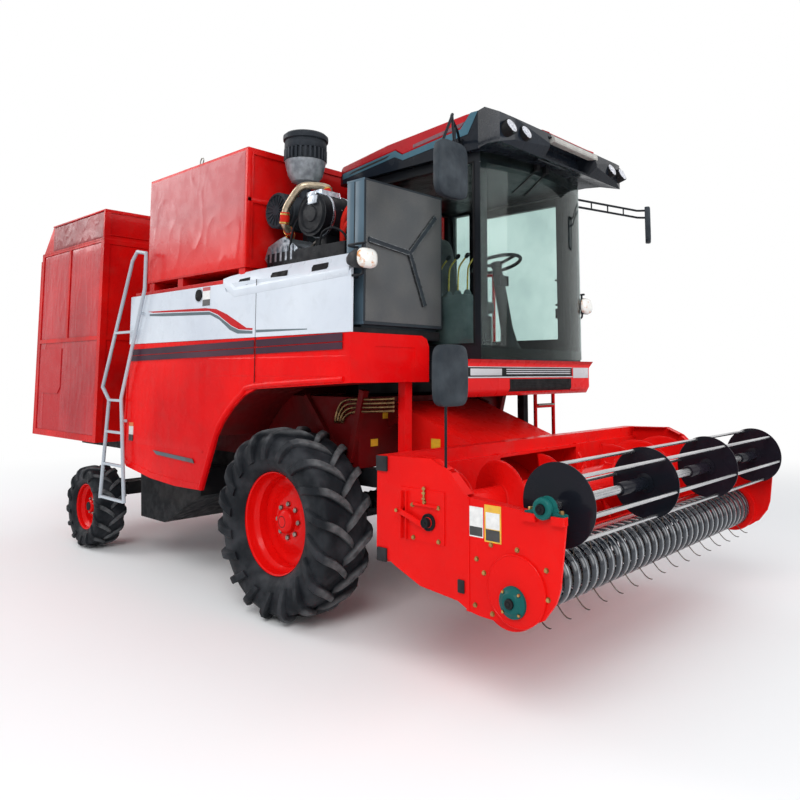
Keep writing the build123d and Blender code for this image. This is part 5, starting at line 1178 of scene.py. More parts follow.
seals = bmesh.new()
seal(seals, (-0.12, -0.376, 1.80), (1.06, -0.376, 3.01), (0, -1, 0))
seal(seals, (-0.13, 0.884, 1.80), (0.06, 0.884, 3.01), (0, 1, 0), 0.012)
seal(seals, (-0.200, -0.286, 2.25), (-0.200, 0.794, 3.01), (-1, 0, 0))
bevelled(seals, 0.002, 2)
fit_piece(seals, "window_seals", "root", seal_rubber)
band = bmesh.new()  # black band printed inside the glass
for k in range(steps):
    (x0, y0), (x1, y1) = edges[1][k], edges[1][k + 1]
    pull = Vector((-0.0012, 0, 0))
    for z0, z1 in ((1.702, 1.768), (3.040, 3.078)):
        band.faces.new([band.verts.new(Vector(p) + pull)
            for p in ((x0, y0, z0), (x1, y1, z0), (x1, y1, z1), (x0, y0, z1))])
fit_piece(band, "windscreen_band", "root", seal_rubber)
ends = bmesh.new()  # ground pale edge on the windscreen's left
(x0, y0), (x1, y1) = edges[0][steps], edges[1][steps]
block(ends, (min(x0, x1) - 0.001, min(y0, y1) - 0.0015, 1.705),
    (max(x0, x1) + 0.0005, max(y0, y1) + 0.0015, 3.070))
fit_piece(ends, "windscreen_edges", "root",
    printed("glass_edge", (0.60, 0.68, 0.68, 1), (0.50, 0.58, 0.58, 1)))

door_trim = bmesh.new()
seal(door_trim, (0.186, 0.884, 1.870), (0.944, 0.884, 2.950), (0, 1, 0), 0.012)
block(door_trim, (0.900, 0.884, 2.040), (0.948, 0.900, 2.120))
bevelled(door_trim, 0.002, 2)
add_tube(door_trim, rounded_line([(0.906, 0.888, 2.150), (0.906, 0.930, 2.170), (0.906, 0.930, 2.330),
    (0.906, 0.888, 2.350)], 5), 0.008, 10)
fit_piece(door_trim, "door_trim", "cab_door", seal_rubber)

wipers = bmesh.new()  # two wiper arms and their blades
for y0, y1 in ((0.150, -0.115), (0.265, 0.010)):
    line = []
    for k in range(9):
        t = k / 8
        y = y0 + (y1 - y0) * t
        x = BOW_CENTRE[0] + math.sqrt((BOW_RADIUS + 0.022) ** 2 - (y - BOW_CENTRE[1]) ** 2)
        line.append((x, y, 3.050 - 0.215 * t))
    add_tube(wipers, line, 0.005, 8)
    add_tube(wipers, [(x - 0.009, y + 0.006, z) for x, y, z in line[3:]], 0.004, 6)
    block(wipers, (line[0][0] - 0.014, y0 - 0.02, 3.040), (line[0][0] + 0.010, y0 + 0.02, 3.079))
fit_piece(wipers, "wipers", "root", seal_rubber, crease=60)

# ------------------------------------------------------------------ cab roof and visor
# A red moulded cap over a black lamp visor that flares into two ears in front. A steel-blue trim runs
# between them and sweeps up at the front corners. Two pairs of round work lamps and a light bar.
ROOF_RED, ROOF_RED_SHADE = (0.44, 0.008, 0.014, 1), (0.32, 0.006, 0.010, 1)
ROOF_MIDDLE, ROOF_SIDE = 0.2675, 0.6978
TRIM_LINE = [(-0.195, 3.160), (0.380, 3.2255), (0.450, 3.1805), (1.000, 3.2405), (1.086, 3.334),
    (1.148, 3.334), (1.062, 3.196), (0.460, 3.140), (0.376, 3.180), (-0.195, 3.114)]
LAMP_TILT = math.radians(22)

roof_red = sprayed("roof_red", ROOF_RED, ROOF_RED_SHADE, 0.3, 0.15, 0.002, 0.4)
visor_black = sprayed("visor_black", (0.007, 0.009, 0.013, 1), (0.012, 0.017, 0.026, 1), 0.22, 0.15)
trim_blue = sprayed("trim_blue", (0.060, 0.150, 0.200, 1), (0.035, 0.090, 0.125, 1), 0.3, 0.1)
soften("cab_roof", roof_red, 0.014, 12)
soften("cab_visor", visor_black, 0.010, 20)
trims, decals, inlays = bmesh.new(), bmesh.new(), bmesh.new()
for side in (-1, 1):
    y0, y1 = sorted((ROOF_MIDDLE + side * (ROOF_SIDE - 0.0020), ROOF_MIDDLE + side * (ROOF_SIDE + 0.0022)))
    along_y(trims, TRIM_LINE, y0, y1)
    along_y(decals, [(0.560, 3.208), (1.000, 3.256), (1.040, 3.288), (0.560, 3.232)], y0,
        y1 - 0.001 if side > 0 else y1)
    along_y(inlays, [(-0.130, 3.136), (0.290, 3.186), (0.330, 3.205), (-0.080, 3.158)],
        *sorted((y0 - 0.0006, y1 + 0.0006)))
bevelled(trims, 0.001, 2)
fit_piece(trims, "roof_trims", "root", trim_blue)
fit_piece(decals, "roof_strips", "root",
    printed("roof_strip", (0.075, 0.020, 0.035, 1), (0.14, 0.03, 0.05, 1)))
fit_piece(inlays, "trim_vents", "root", seal_rubber)

lens, tree, shader = shader_of("lamp_lens")
facet = cells(tree, 90)
bright = two_shades(tree, spread(tree, facet, 0.0, 1.0, 0.1, 0.7), (0.80, 0.81, 0.86, 1),
    (0.34, 0.35, 0.40, 1))
plug(tree, shader, bright, spread(tree, facet, 0.08, 0.25, 0.1, 0.7), relief(tree, facet, 0.002, 0.7))
shader.inputs["Coat Weight"].default_value = 0.8

pods, lenses = bmesh.new(), bmesh.new()
pod_line = [(-0.05, 0.046), (0.020, 0.052), (0.031, 0.052), (0.034, 0.049), (0.031, 0.0455)]
lens_line = [(0.0305, 0.0465), (0.0345, 0.043), (0.038, 0.030), (0.0395, 0.014), (0.040, 0.001)]
aim = Vector((math.cos(LAMP_TILT), 0, math.sin(LAMP_TILT)))
for offset in (-0.740, -0.575, 0.575, 0.740):
    seat = Vector((1.425, ROOF_MIDDLE + offset, 3.140))
    for shape, outline in ((pods, pod_line), (lenses, lens_line)):
        add_tube(shape, [seat + aim * s for s, r in outline], [r for s, r in outline], 36)
fit_piece(pods, "work_lamp_pods", "root", seal_rubber, crease=45)
fit_piece(lenses, "work_lamp_lenses", "root", lens, crease=60)

bar_shape = bmesh.new()  # light bar in the middle of the visor's brow
along_y(bar_shape, [(1.400, 3.168), (1.400, 3.216), (1.432, 3.216), (1.455, 3.206), (1.458, 3.174),
    (1.450, 3.168)], ROOF_MIDDLE - 0.255, ROOF_MIDDLE + 0.335)
bevelled(bar_shape, 0.006, 3)
bar_cream, tree, shader = shader_of("light_bar_cover")
plug(tree, shader, mottled(tree, 0.05, 3.0, (0.44, 0.43, 0.40, 1), (0.34, 0.33, 0.31, 1)),
     spread(tree, cloud(tree, 0.02), 0.28, 0.45))
fit_piece(bar_shape, "light_bar", "root", bar_cream)
lip = bmesh.new()  # red lip behind the light bar
along_y(lip, [(1.345, 3.222), (1.343, 3.262), (1.372, 3.262), (1.428, 3.232), (1.428, 3.222)],
    ROOF_MIDDLE - 0.27, ROOF_MIDDLE + 0.33)
bevelled(lip, 0.004, 2)
fit_piece(lip, "roof_lip", "root", roof_red)

# ------------------------------------------------------------------ front apron
# A folded apron under the windscreen: red with a silver band between black grooves, and a black
# grille of flat slats in its middle. The badge's place is bare.
SILVER, SILVER_SHADE = (0.60, 0.62, 0.64, 1), (0.46, 0.48, 0.50, 1)

silver = sprayed("silver_paint", SILVER, SILVER_SHADE, 0.25, 0.2)
soften("cab_fascia", sprayed("apron_red", (0.74, 0.012, 0.012, 1), (0.60, 0.010, 0.012, 1), 0.26, 0.12), 0.0)
apron = bmesh.new()
for z0, z1 in ((1.596, 1.603), (1.610, 1.617), (1.624, 1.631)):
    block(apron, (1.174, -0.180, z0), (1.181, 0.630, z1))
for z0, z1 in ((1.572, 1.580), (1.640, 1.648)):
    block(apron, (1.174, -0.590, z0), (1.181, 0.660, z1))
block(apron, (1.174, -0.560, 1.588), (1.180, -0.230, 1.632))
block(apron, (1.174, 0.672, 1.566), (1.1795, 0.895, 1.650))
bevelled(apron, 0.0015, 2)
fit_piece(apron, "apron_silver", "root", silver)
grille = bmesh.new()
block(grille, (1.174, -0.590, 1.574), (1.1782, 0.656, 1.646))
slant = [(1.1500, 1.4560), (1.1785, 1.5000), (1.1785, 1.5640), (1.172, 1.564), (1.146, 1.458)]
along_y(grille, slant, -0.140, 0.640)
for k in range(5):
    z = 1.508 + 0.011 * k
    along_y(grille, [(1.176, z), (1.1815, z + 0.001), (1.1815, z + 0.005), (1.176, z + 0.006)], -0.110, 0.600)
bevelled(grille, 0.001, 1)
fit_piece(grille, "apron_grille", "root", seal_rubber)

# ------------------------------------------------------------------ driver's place
# A sprung seat with moulded foam pads in black cloth, a steering wheel on a raked column, and a grey
# console with five bent levers in zinc-yellow wire.
SEAT, BACK = ((0.150, 0.010, 2.060), (0.620, 0.510, 2.170)), ((0.150, 0.020, 2.160), (0.240, 0.500, 2.720))
LEVER_YELLOW, LEVER_SHADE = (0.62, 0.48, 0.10, 1), (0.42, 0.30, 0.08, 1)


def pillow(name, low, high, lean=0.0):
    """A moulded foam pad between two corners: a rounded box with two shallow grooves round it."""
    low, high = Vector(low), Vector(high)
    centre, half = (low + high) / 2, (high - low) / 2
    shape = bmesh.new()
    rows, turns = 26, 56
    rings = []
    for i in range(1, rows):
        p = math.pi * i / rows
        ring = []
        for j in range(turns):
            q = 2 * math.pi * j / turns
            spot = [math.sin(p) * math.cos(q), math.sin(p) * math.sin(q), math.cos(p)]
            x, y, z = (math.copysign(abs(c) ** 0.38, c) for c in spot)
            tuck = 1 - 0.03 * math.exp(-((abs(y) - 0.55) / 0.06) ** 2)
            spot = Vector((x * half.x * tuck, y * half.y, z * half.z * tuck))
            spot.x -= lean * (spot.z + half.z)
            ring.append(shape.verts.new(centre + spot))
        rings.append(ring)
    loft(shape, rings)
    shape.faces.new(rings[0])
    shape.faces.new(list(reversed(rings[-1])))
    made = fit_piece(shape, name, "root", seat_cloth, crease=70)
    return made


seat_cloth, tree, shader = shader_of("seat_cloth")
weave = tree.nodes.new("ShaderNodeTexNoise")
weave.inputs["Scale"].default_value = 420
plug(tree, shader, mottled(tree, 0.12, 6.0, (0.018, 0.019, 0.022, 1), (0.040, 0.042, 0.047, 1)),
     spread(tree, cloud(tree, 0.05), 0.75, 0.95), relief(tree, weave.outputs["Fac"], 0.001, 0.6))
shader.inputs["Sheen Weight"].default_value = 0.3
cushion = pillow("seat_cushion", *SEAT)
pillow("seat_back", *BACK, lean=0.15)
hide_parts("seat_pads")
soften("seat_base", moulded_rubber("seat_bellows", (0.014, 0.014, 0.015, 1), (0.03, 0.03, 0.03, 1)), 0.02)

wheel = bmesh.new()
hub = Vector((0.775, 0.260, 2.424))
normal = Vector((-math.sin(math.radians(15)), 0, math.cos(math.radians(15))))
side, ahead = Vector((0, 1, 0)), Vector((normal.z, 0, -normal.x))
ring = [hub + (side * math.cos(a) + ahead * math.sin(a)) * 0.188
    for a in (2 * math.pi * k / 64 for k in range(64))]
grips = []
for k in range(64):
    out = (ring[k] - hub).normalized()
    grips.append([wheel.verts.new(ring[k] + (out * math.cos(b) + normal * math.sin(b)) * 0.0135)
                  for b in (2 * math.pi * j / 12 for j in range(12))])
loft(wheel, grips + grips[:1])
for angle in (90, 210, 330):
    tip = hub + (side * math.cos(math.radians(angle)) + ahead * math.sin(math.radians(angle))) * 0.180
    add_tube(wheel, [hub - normal * 0.012, hub.lerp(tip, 0.5) - normal * 0.006, tip], [0.014, 0.012, 0.011],
        10)
add_tube(wheel, [hub - normal * 0.035, hub - normal * 0.005, hub + normal * 0.010, hub + normal * 0.014],
    [0.038, 0.046, 0.040, 0.001], 28)
add_tube(wheel, [(0.900, 0.260, 1.745), (0.885, 0.260, 1.830), (0.868, 0.260, 1.930), (0.800, 0.260, 2.295),
    (0.776, 0.260, 2.420)], [0.090, 0.062, 0.046, 0.042, 0.030], 28)
block(wheel, (0.800, 0.205, 2.255), (0.850, 0.315, 2.330))
fit_piece(wheel, "steering_wheel", "root", black_plastic, ("steering_column",), 45)

desk_grey = moulded_rubber("console_grey", (0.10, 0.115, 0.125, 1), (0.16, 0.175, 0.185, 1))
desk = bmesh.new()
block(desk, (0.250, -0.316, 1.742), (0.950, -0.126, 2.142))
bevelled(desk, 0.028, 4)
for k in range(5):
    turn(desk, [(0.0, 0.030), (0.016, 0.030), (0.024, 0.016), (0.030, -0.004)], 16,
        (0.560 + 0.085 * k, -0.240, 2.146), "Z")
fit_piece(desk, "console_box", "root", desk_grey, ("console",), 40)
lever_wire = bare_metal("lever_plating", LEVER_YELLOW, LEVER_SHADE, 0.35)
levers, knobs = bmesh.new(), bmesh.new()
for k in range(5):
    x = 0.560 + 0.085 * k
    line = rounded_line([(x, -0.240, 2.140), (x + 0.004, -0.240, 2.290), (x + 0.016, -0.236, 2.350),
        (x + 0.058, -0.222, 2.408)], 4)
    add_tube(levers, line, 0.0060, 10)
    tip = Vector(line[-1])
    lean = (tip - Vector(line[-3])).normalized()
    add_tube(knobs, [tip - lean * 0.006, tip, tip + lean * 0.020, tip + lean * 0.034, tip + lean * 0.038],
        [0.006, 0.012, 0.016, 0.011, 0.002], 16)
fit_piece(levers, "control_levers", "root", lever_wire, crease=60)
fit_piece(knobs, "lever_knobs", "root", black_plastic, crease=60)

# ------------------------------------------------------------------ ladders and steps
# The right-hand ladder is one bent steel tube with flat rungs, in light blue-grey enamel. The cab's
# steps and platform on the left are red, their treads of raised diamond plate.
LADDER_BLUE, LADDER_SHADE = (0.48, 0.53, 0.58, 1), (0.36, 0.40, 0.45, 1)

ladder_paint = sprayed("ladder_paint", LADDER_BLUE, LADDER_SHADE, 0.32, 0.2)
soften("side_ladder", ladder_paint, 0.002)
soften("cab_steps", body_red, 0.003)
treads = bmesh.new()
for k in range(4):
    z = 0.500 + 0.280 * k
    block(treads, (0.768, 0.752, z + 0.008), (0.818, 0.988, z + 0.0165))
    for j in range(10):
        y = 0.764 + 0.0236 * j
        block(treads, (0.772, y, z + 0.016), (0.814, y + 0.008, z + 0.0195))
bevelled(treads, 0.001, 1)
fit_piece(treads, "step_treads", "root", zinc)

# ------------------------------------------------------------------ mirrors
# Moulded dark grey housings with the glass set in their rear face, on bent black tube arms. The
# left arm is a pair of tubes with rungs; a third mirror on a post looks down at the drum.
MIRROR_GREY, MIRROR_SHADE = (0.022, 0.028, 0.035, 1), (0.050, 0.060, 0.070, 1)

mirror_shell = moulded_rubber("mirror_shell", MIRROR_GREY, MIRROR_SHADE)
silvering, tree, shader = shader_of("mirror_glass")
plug(tree, shader, mottled(tree, 0.2, 3.0, (0.62, 0.66, 0.68, 1), (0.54, 0.58, 0.60, 1)),
     spread(tree, cloud(tree, 0.1), 0.02, 0.06))
shader.inputs["Metallic"].default_value = 1.0


def mirror_head(shells, glasses, centre, deep, wide, tall, turned):
    """A pillow-shaped housing open to the rear, where the glass sits behind a rim."""
    spin = Matrix.Rotation(math.radians(turned), 3, "Z")
    rings = []
    for back, grow in ((0.50, 0.80), (0.48, 0.92), (0.36, 0.985), (0.10, 1.0), (-0.40, 0.99), (-0.50, 0.97),
            (-0.50, 0.88), (-0.42, 0.86)):
        ring = []
        for k in range(48):
            a = 2 * math.pi * k / 48
            y, z = (math.copysign(abs(c) ** 0.42, c) for c in (math.cos(a), math.sin(a)))
            ring.append(shells.verts.new(Vector(centre) + spin @ Vector((back * deep, 0.5 * wide * grow * y,
                0.5 * tall * grow * z))))
        rings.append(ring)
    loft(shells, rings)
    shells.faces.new(rings[0])
    glasses.faces.new([glasses.verts.new(v.co) for v in rings[-1]])


shells, glasses, arms = bmesh.new(), bmesh.new(), bmesh.new()
mirror_head(shells, glasses, (1.2525, -0.8275, 2.828), 0.055, 0.276, 0.352, 0)
mirror_head(shells, glasses, (1.350, 1.660, 2.862), 0.046, 0.150, 0.312, 25)
add_tube(arms, rounded_line([(1.000, -0.440, 3.150), (1.080, -0.560, 3.176), (1.200, -0.760, 3.182),
    (1.250, -0.815, 3.170), (1.250, -0.905, 2.990)], 5), 0.009, 12)
add_tube(arms, [(1.250, -0.815, 3.170), (1.250, -0.795, 2.990)], 0.009, 12)
add_tube(arms, [(1.130, -0.640, 3.176), (1.246, -0.790, 2.880)], 0.005, 8)
block(arms, (0.980, -0.444, 3.130), (1.020, -0.4305, 3.170))
block(arms, (1.040, 0.884, 2.885), (1.080, 0.902, 3.015))
for z, reach in ((2.940, 2.930), (3.000, 2.960)):
    add_tube(arms, rounded_line([(1.060, 0.894, z), (1.080, 0.960, z), (1.240, 1.580, z),
        (1.270, 1.640, z - 0.004), (1.345, 1.664, z - 0.012), (1.350, 1.662, reach)], 5), 0.009, 12)
for t in (0.30, 0.55, 0.80):
    spot = Vector((1.060, 0.894, 0)).lerp(Vector((1.250, 1.640, 0)), t)
    add_tube(arms, [(spot.x, spot.y, 2.940), (spot.x, spot.y, 3.000)], 0.006, 8)
fit_piece(shells, "mirror_housings", "root", mirror_shell, ("cab_mirrors",), 40)
fit_piece(glasses, "mirror_panes", "root", silvering)
fit_piece(arms, "mirror_arms", "root", cab_black, crease=50)

shells, glasses, arms = bmesh.new(), bmesh.new(), bmesh.new()
mirror_head(shells, glasses, (1.676, -1.338, 1.592), 0.055, 0.228, 0.308, 0)
add_tube(arms, [(1.676, -1.377, 1.100), (1.676, -1.377, 1.445)], 0.007, 12)
block(arms, (1.660, -1.384, 1.070), (1.692, -1.369, 1.130))
fit_piece(shells, "drum_mirror_housing", "header", mirror_shell, ("header_mirror",), 40)
fit_piece(glasses, "drum_mirror_pane", "header", silvering)
fit_piece(arms, "drum_mirror_post", "header", cab_black, crease=50)

# ------------------------------------------------------------------ head lamps
# A moulded lens, its colour painted with pale reflections of a bright bowl and amber glints of a bulb, in a
# black shell that hangs on a loop of black tube at each side of the machine.
painted_lens_glints, tree, shader = shader_of("head_lamp_lens")
# Pale painted reflections with amber painted glints, in clouds over the lens.
painted_glints = two_shades(tree, spread(tree, cloud(tree, 0.035, 5.0), 0.0, 1.0, 0.56, 0.68), (0.78, 0.78, 0.74, 1),
    (0.62, 0.24, 0.05, 1))
plug(tree, shader, painted_glints, spread(tree, cloud(tree, 0.02), 0.08, 0.2),
    relief(tree, cloud(tree, 0.012, 1.0), 0.003, 0.6))
shader.inputs["Coat Weight"].default_value = 1.0
shells, lenses, arms = bmesh.new(), bmesh.new(), bmesh.new()
shell_line = [(-0.112, 0.25), (-0.106, 0.48), (-0.070, 0.74), (-0.010, 0.95), (0.030, 1.0), (0.034, 0.97)]
bulge_line = [(0.012, 0.93), (0.034, 0.965), (0.048, 0.90), (0.057, 0.70), (0.061, 0.40), (0.062, 0.02)]
for x, y, z, wall, back in ((0.880, -1.200, 2.280, -1.1135, 0.740), (1.100, 0.965, 2.130, 0.8845, 1.000)):
    for shape, profile in ((shells, shell_line), (lenses, bulge_line)):
        rings = []
        for along, grow in profile:
            ring = []
            for k in range(40):
                a = 2 * math.pi * k / 40
                v, w = (math.copysign(abs(c) ** 0.72, c) for c in (math.cos(a), math.sin(a)))
                ring.append(shape.verts.new((x + along, y + 0.084 * grow * v, z + 0.064 * grow * w)))
            rings.append(ring)
        loft(shape, rings)
        shape.faces.new(rings[0])
        shape.faces.new(rings[-1])
    add_tube(arms, rounded_line([(back, wall, z + 0.095), (back + 0.010, y, z + 0.095),
        (x + 0.020, y, z + 0.095)], 5), 0.008, 10)
    add_tube(arms, rounded_line([(back, wall, z - 0.090), (back + 0.010, y, z - 0.090),
        (x - 0.010, y, z - 0.090), (x - 0.004, y, z - 0.030)], 5), 0.008, 10)
    add_tube(arms, [(x - 0.004, y, z + 0.095), (x - 0.004, y, z + 0.050)], 0.008, 10)
fit_piece(shells, "head_lamp_shells", "root", black_plastic, ("headlamps",), 40)
fit_piece(lenses, "head_lamp_lenses", "root", painted_lens_glints, crease=50)
fit_piece(arms, "head_lamp_loops", "root", cab_black, crease=50)

# ------------------------------------------------------------------ header sheet metal
# Laser-cut and folded plate, sprayed bright red: two deep side plates, the trough round the auger,
# square tubes behind it and the feeder house. Its floor is perforated so that soil drops out.
HEADER_RED, HEADER_RED_SHADE = (0.80, 0.008, 0.006, 1), (0.66, 0.006, 0.006, 1)
HEADER_Y = 1.397
# The side plates' top edge from back to front, as x and z.
FLANGE_TOP = [(1.300, 1.172), (1.590, 1.181), (1.706, 1.130), (1.818, 1.022), (2.190, 0.992)]
FLANGE_WIDE, FLANGE_THICK = 0.060, 0.004
FLOOR_FROM = 1.72  # the punched floor starts here
# Each axis as x and z.
AUGER, DRUM, ROTOR, REEL = (1.590, 0.880), (2.050, 0.642), (2.088, 0.606), (2.252, 1.027)


def perforated(name, colour, shade, pitch):
    """Enamelled plate with rows of punched holes: dark pits on a square grid, ahead of FLOOR_FROM."""
    material = sprayed(name, colour, shade, 0.3, 0.1, 0.001, 0.4, 0.15)
    tree = material.node_tree
    holes = spread(tree, cells(tree, 1 / pitch, 0.0), 1.0, 0.0, 0.26, 0.34)
    ahead = spread(tree, place_along(tree)["X"], 0.0, 1.0, FLOOR_FROM, FLOOR_FROM + 0.01)
    overlay(material, product(tree, holes, ahead), (0.012, 0.006, 0.006, 1))
    return material


header_red = sprayed("header_red", HEADER_RED, HEADER_RED_SHADE, 0.27, 0.05, 0.0008, 0.5, 0.06, 0.05)
soften("header_side_plates", header_red, 0.002)
soften("header_trough", perforated("punched_floor", HEADER_RED, HEADER_RED_SHADE, 0.022), 0.003)
soften("feeder_house", header_red, 0.006)
cheeks = bmesh.new()  # between the feeder's front and the trough's back
for side in (-1, 1):
    y0, y1 = sorted((side * 0.4505, side * 0.4700))
    block(cheeks, (1.2190, y0, 0.700), (1.3215, y1, 1.110))
fit_piece(cheeks, "feeder_cheeks", "header", header_red)

for side in (-1, 1):
    label = "right" if side < 0 else "left"
    face, inner = side * HEADER_Y, side * (HEADER_Y - 0.013)
    folds = bmesh.new()
    for (x0, z0), (x1, z1) in zip(FLANGE_TOP, FLANGE_TOP[1:]):
        run = math.hypot(x1 - x0, z1 - z0)
        up = Vector((-(z1 - z0) / run, (x1 - x0) / run)) * FLANGE_THICK
        trim = 0.012 / run
        a = (x0 + (x1 - x0) * trim, z0 + (z1 - z0) * trim)
        b = (x1 - (x1 - x0) * trim, z1 - (z1 - z0) * trim)
        along_y(folds, [a, b, (b[0] + up[0], b[1] + up[1]), (a[0] + up[0], a[1] + up[1])], inner,
            side * (HEADER_Y - FLANGE_WIDE))
    fit_piece(folds, f"plate_folds_{label}", "header", header_red)

    lever = bmesh.new()  # auger height setting
    for x0, x1, z0, z1, lift in ((1.405, 1.412, 0.78, 1.012, 0.022), (1.440, 1.447, 0.78, 1.016, 0.022),
                                 (1.412, 1.440, 0.78, 1.012, 0.006), (1.490, 1.650, 0.952, 0.964, 0.018)):
        block(lever, (x0, min(face, face + side * lift), z0), (x1, max(face, face + side * lift), z1))
    angle = math.atan2(0.861 - 0.918, 1.584 - 1.401)
    block(lever, (1.395, min(face + side * 0.022, face + side * 0.032), 0.905),
        (1.590, max(face + side * 0.022, face + side * 0.032), 0.931), Matrix.Rotation(-angle, 3, "Y"),
        (1.401, face, 0.918))
    bevelled(lever, 0.0015)
    fit_piece(lever, f"auger_lever_{label}", "header", header_red)

# ------------------------------------------------------------------ header bearings and bolts
# Cast pillow block and flange bearings in factory teal, bolted on with yellow-passivated hexagon
# screws. The same screws run round the drum's cover and the plates' seam.
TEAL, TEAL_SHADE = (0.008, 0.120, 0.110, 1), (0.006, 0.070, 0.070, 1)
BRASS, BRASS_SHADE = (0.46, 0.29, 0.10, 1), (0.26, 0.15, 0.06, 1)
PLATE_BOLTS = [(1.396, 0.918), (1.480, 0.951), (1.561, 0.973), (1.651, 0.955), (1.487, 0.794), (1.653, 0.796),
               (1.963, 0.830), (1.880, 0.755), (1.922, 0.700), (2.106, 0.830), (2.255, 0.769), (2.262, 0.650),
               (1.968, 0.530), (1.870, 0.549)]

teal = sprayed("bearing_teal", TEAL, TEAL_SHADE, 0.4)
brass = bare_metal("passivated_bolts", BRASS, BRASS_SHADE, 0.3)
shaft_steel = bare_metal("turned_steel", (0.58, 0.58, 0.59, 1), (0.36, 0.36, 0.37, 1), 0.2, (1, 0.08, 1))
for side in (-1, 1):
    label = "right" if side < 0 else "left"
    face = side * HEADER_Y
    cast = bmesh.new()
    x, z = REEL
    arch = [(x + 0.048 * math.cos(a), z + 0.048 * math.sin(a))
        for a in (math.radians(18 * k) for k in range(11))]
    feet = [(x - 0.060, z - 0.012), (x - 0.098, z - 0.020), (x - 0.098, z - 0.034), (x + 0.098, z - 0.034),
        (x + 0.098, z - 0.020), (x + 0.060, z - 0.012)]
    along_y(cast, list(reversed(arch)) + list(reversed(feet)),
        *sorted((face + side * 0.008, face - side * 0.024)))
    turn(cast, [(0.0225, 0.0), (0.0225, side * 0.034), (0.040, side * 0.034), (0.0465, side * 0.026),
        (0.0470, 0.0)], 32, (x, face, z), closed=True)
    x, z = ROTOR
    flange = [(0.0225, -0.002), (0.0225, 0.034), (0.042, 0.034), (0.0495, 0.026), (0.060, 0.020),
        (0.068, 0.018), (0.070, 0.008), (0.070, -0.002)]
    turn(cast, [(r, side * w) for r, w in flange], 40, (x, face + side * 0.006, z), closed=True)
    bevelled(cast, 0.002, 2, 40)
    fit_piece(cast, f"header_bearings_{label}", "header", teal)
    bead = bmesh.new()  # pressed rim of the drum's round cover
    turn(bead, [(0.1480, 0.0), (0.1480, side * 0.010), (0.1505, side * 0.0125), (0.1535, side * 0.0125),
        (0.1560, side * 0.010), (0.1560, 0.0)], 72, (2.100, face, 0.655), closed=True)
    fit_piece(bead, f"cover_bead_{label}", "header", header_red)
    bolts = bmesh.new()
    out = (0, side, 0)
    for x, z in PLATE_BOLTS:
        on_disc = (x - 2.10) ** 2 + (z - 0.655) ** 2 < 0.158 ** 2
        on_plate = x < 1.69 and 0.78 < z < 1.03
        lift = 0.010 if on_disc else 0.006 if on_plate else 0.0
        hex_head(bolts, (x, face + side * (lift + (0.028 if (x, z) == PLATE_BOLTS[0] else 0.0)), z), out,
            0.017, 0.010)
        turn(bolts, [(0.0, side * 0.0020), (0.0115, side * 0.0020), (0.0115, 0.0), (0.0, 0.0)], 18,
            (x, face + side * lift, z))
    for k in range(4):
        a = math.radians(45 + 90 * k)
        hex_head(bolts, (ROTOR[0] + 0.0595 * math.cos(a), face + side * 0.025,
            ROTOR[1] + 0.0595 * math.sin(a)), out, 0.013, 0.010)
    for dx in (-0.078, 0.078):
        hex_head(bolts, (REEL[0] + dx, face - side * 0.008, REEL[1] - 0.020), (0, 0, 1), 0.020, 0.018)
    add_tube(bolts, [(1.561, face + side * 0.014, 0.964), (1.561, face + side * 0.014, 1.048)], 0.005, 10)
    for z in (0.985, 1.012, 1.034):
        hex_head(bolts, (1.561, face + side * 0.014, z), (0, 0, 1), 0.017, 0.009)
    fit_piece(bolts, f"header_bolts_{label}", "header", brass)
    stubs = bmesh.new()
    for (x, z), r, reach in ((REEL, 0.0212, 0.046), (ROTOR, 0.0212, 0.050), (AUGER, 0.0415, 0.018),
            (AUGER, 0.0242, 0.044)):
        turn(stubs, [(0.0, side * reach), (0.006, side * reach), (0.006, side * (reach - 0.003)),
            (r - 0.008, side * (reach - 0.003)), (r - 0.006, side * reach), (r - 0.001, side * reach),
            (r, side * (reach - 0.001)), (r, 0.0), (0.0, 0.0)], 28, (x, face, z))
    fit_piece(stubs, f"shaft_ends_{label}", "header", chassis_black)

caps = bmesh.new()
for side in (-1, 1):
    for low, high, z in ((1.2185, 1.2975, 1.135), (1.2285, 1.2975, 0.675)):
        half = 0.039 if z > 1 else 0.034
        y0, y1 = sorted((side * (HEADER_Y - 0.002), side * (HEADER_Y + 0.012)))
        block(caps, (low, y0, z - half), (high - 0.001, y1, z + half))
    y0, y1 = sorted((side * HEADER_Y, side * (HEADER_Y + 0.008)))
    block(caps, (1.768, y0, 0.585), (1.808, y1, 0.645))
bevelled(caps, 0.004, 3)
fit_piece(caps, "tube_caps", "header", black_plastic)

# ------------------------------------------------------------------ blank labels
# Printed vinyl plates for notices, stuck on the right side plate and the feeder's right side. They
# are bare: a white or yellow plate with a white field and a black field below it, and nothing written.
for name, x0, x1, z0, z1, back in (("label_a", 1.836, 1.918, 0.852, 0.988, label_white),
                                   ("label_b", 1.926, 2.020, 0.840, 1.005, label_yellow)):
    plate = bmesh.new()
    block(plate, (x0, -HEADER_Y - 0.0016, z0), (x1, -HEADER_Y + 0.001, z1))
    fit_piece(plate, name, "header", back)
    edge = 0.004 if back is label_white else 0.008
    for part, low, high, ink in (("field", 0.36, 0.80, label_white), ("foot", 0.04, 0.34, label_black)):
        field = bmesh.new()
        block(field, (x0 + edge, -HEADER_Y - 0.0022, z0 + (z1 - z0) * low),
            (x1 - edge, -HEADER_Y, z0 + (z1 - z0) * high))
        fit_piece(field, f"{name}_{part}", "header", ink)

feeder_tag = bmesh.new()
block(feeder_tag, (0.770, -0.4722, 1.105), (0.850, -0.4695, 1.170))
fit_piece(feeder_tag, "feeder_tag", "header", label_yellow)
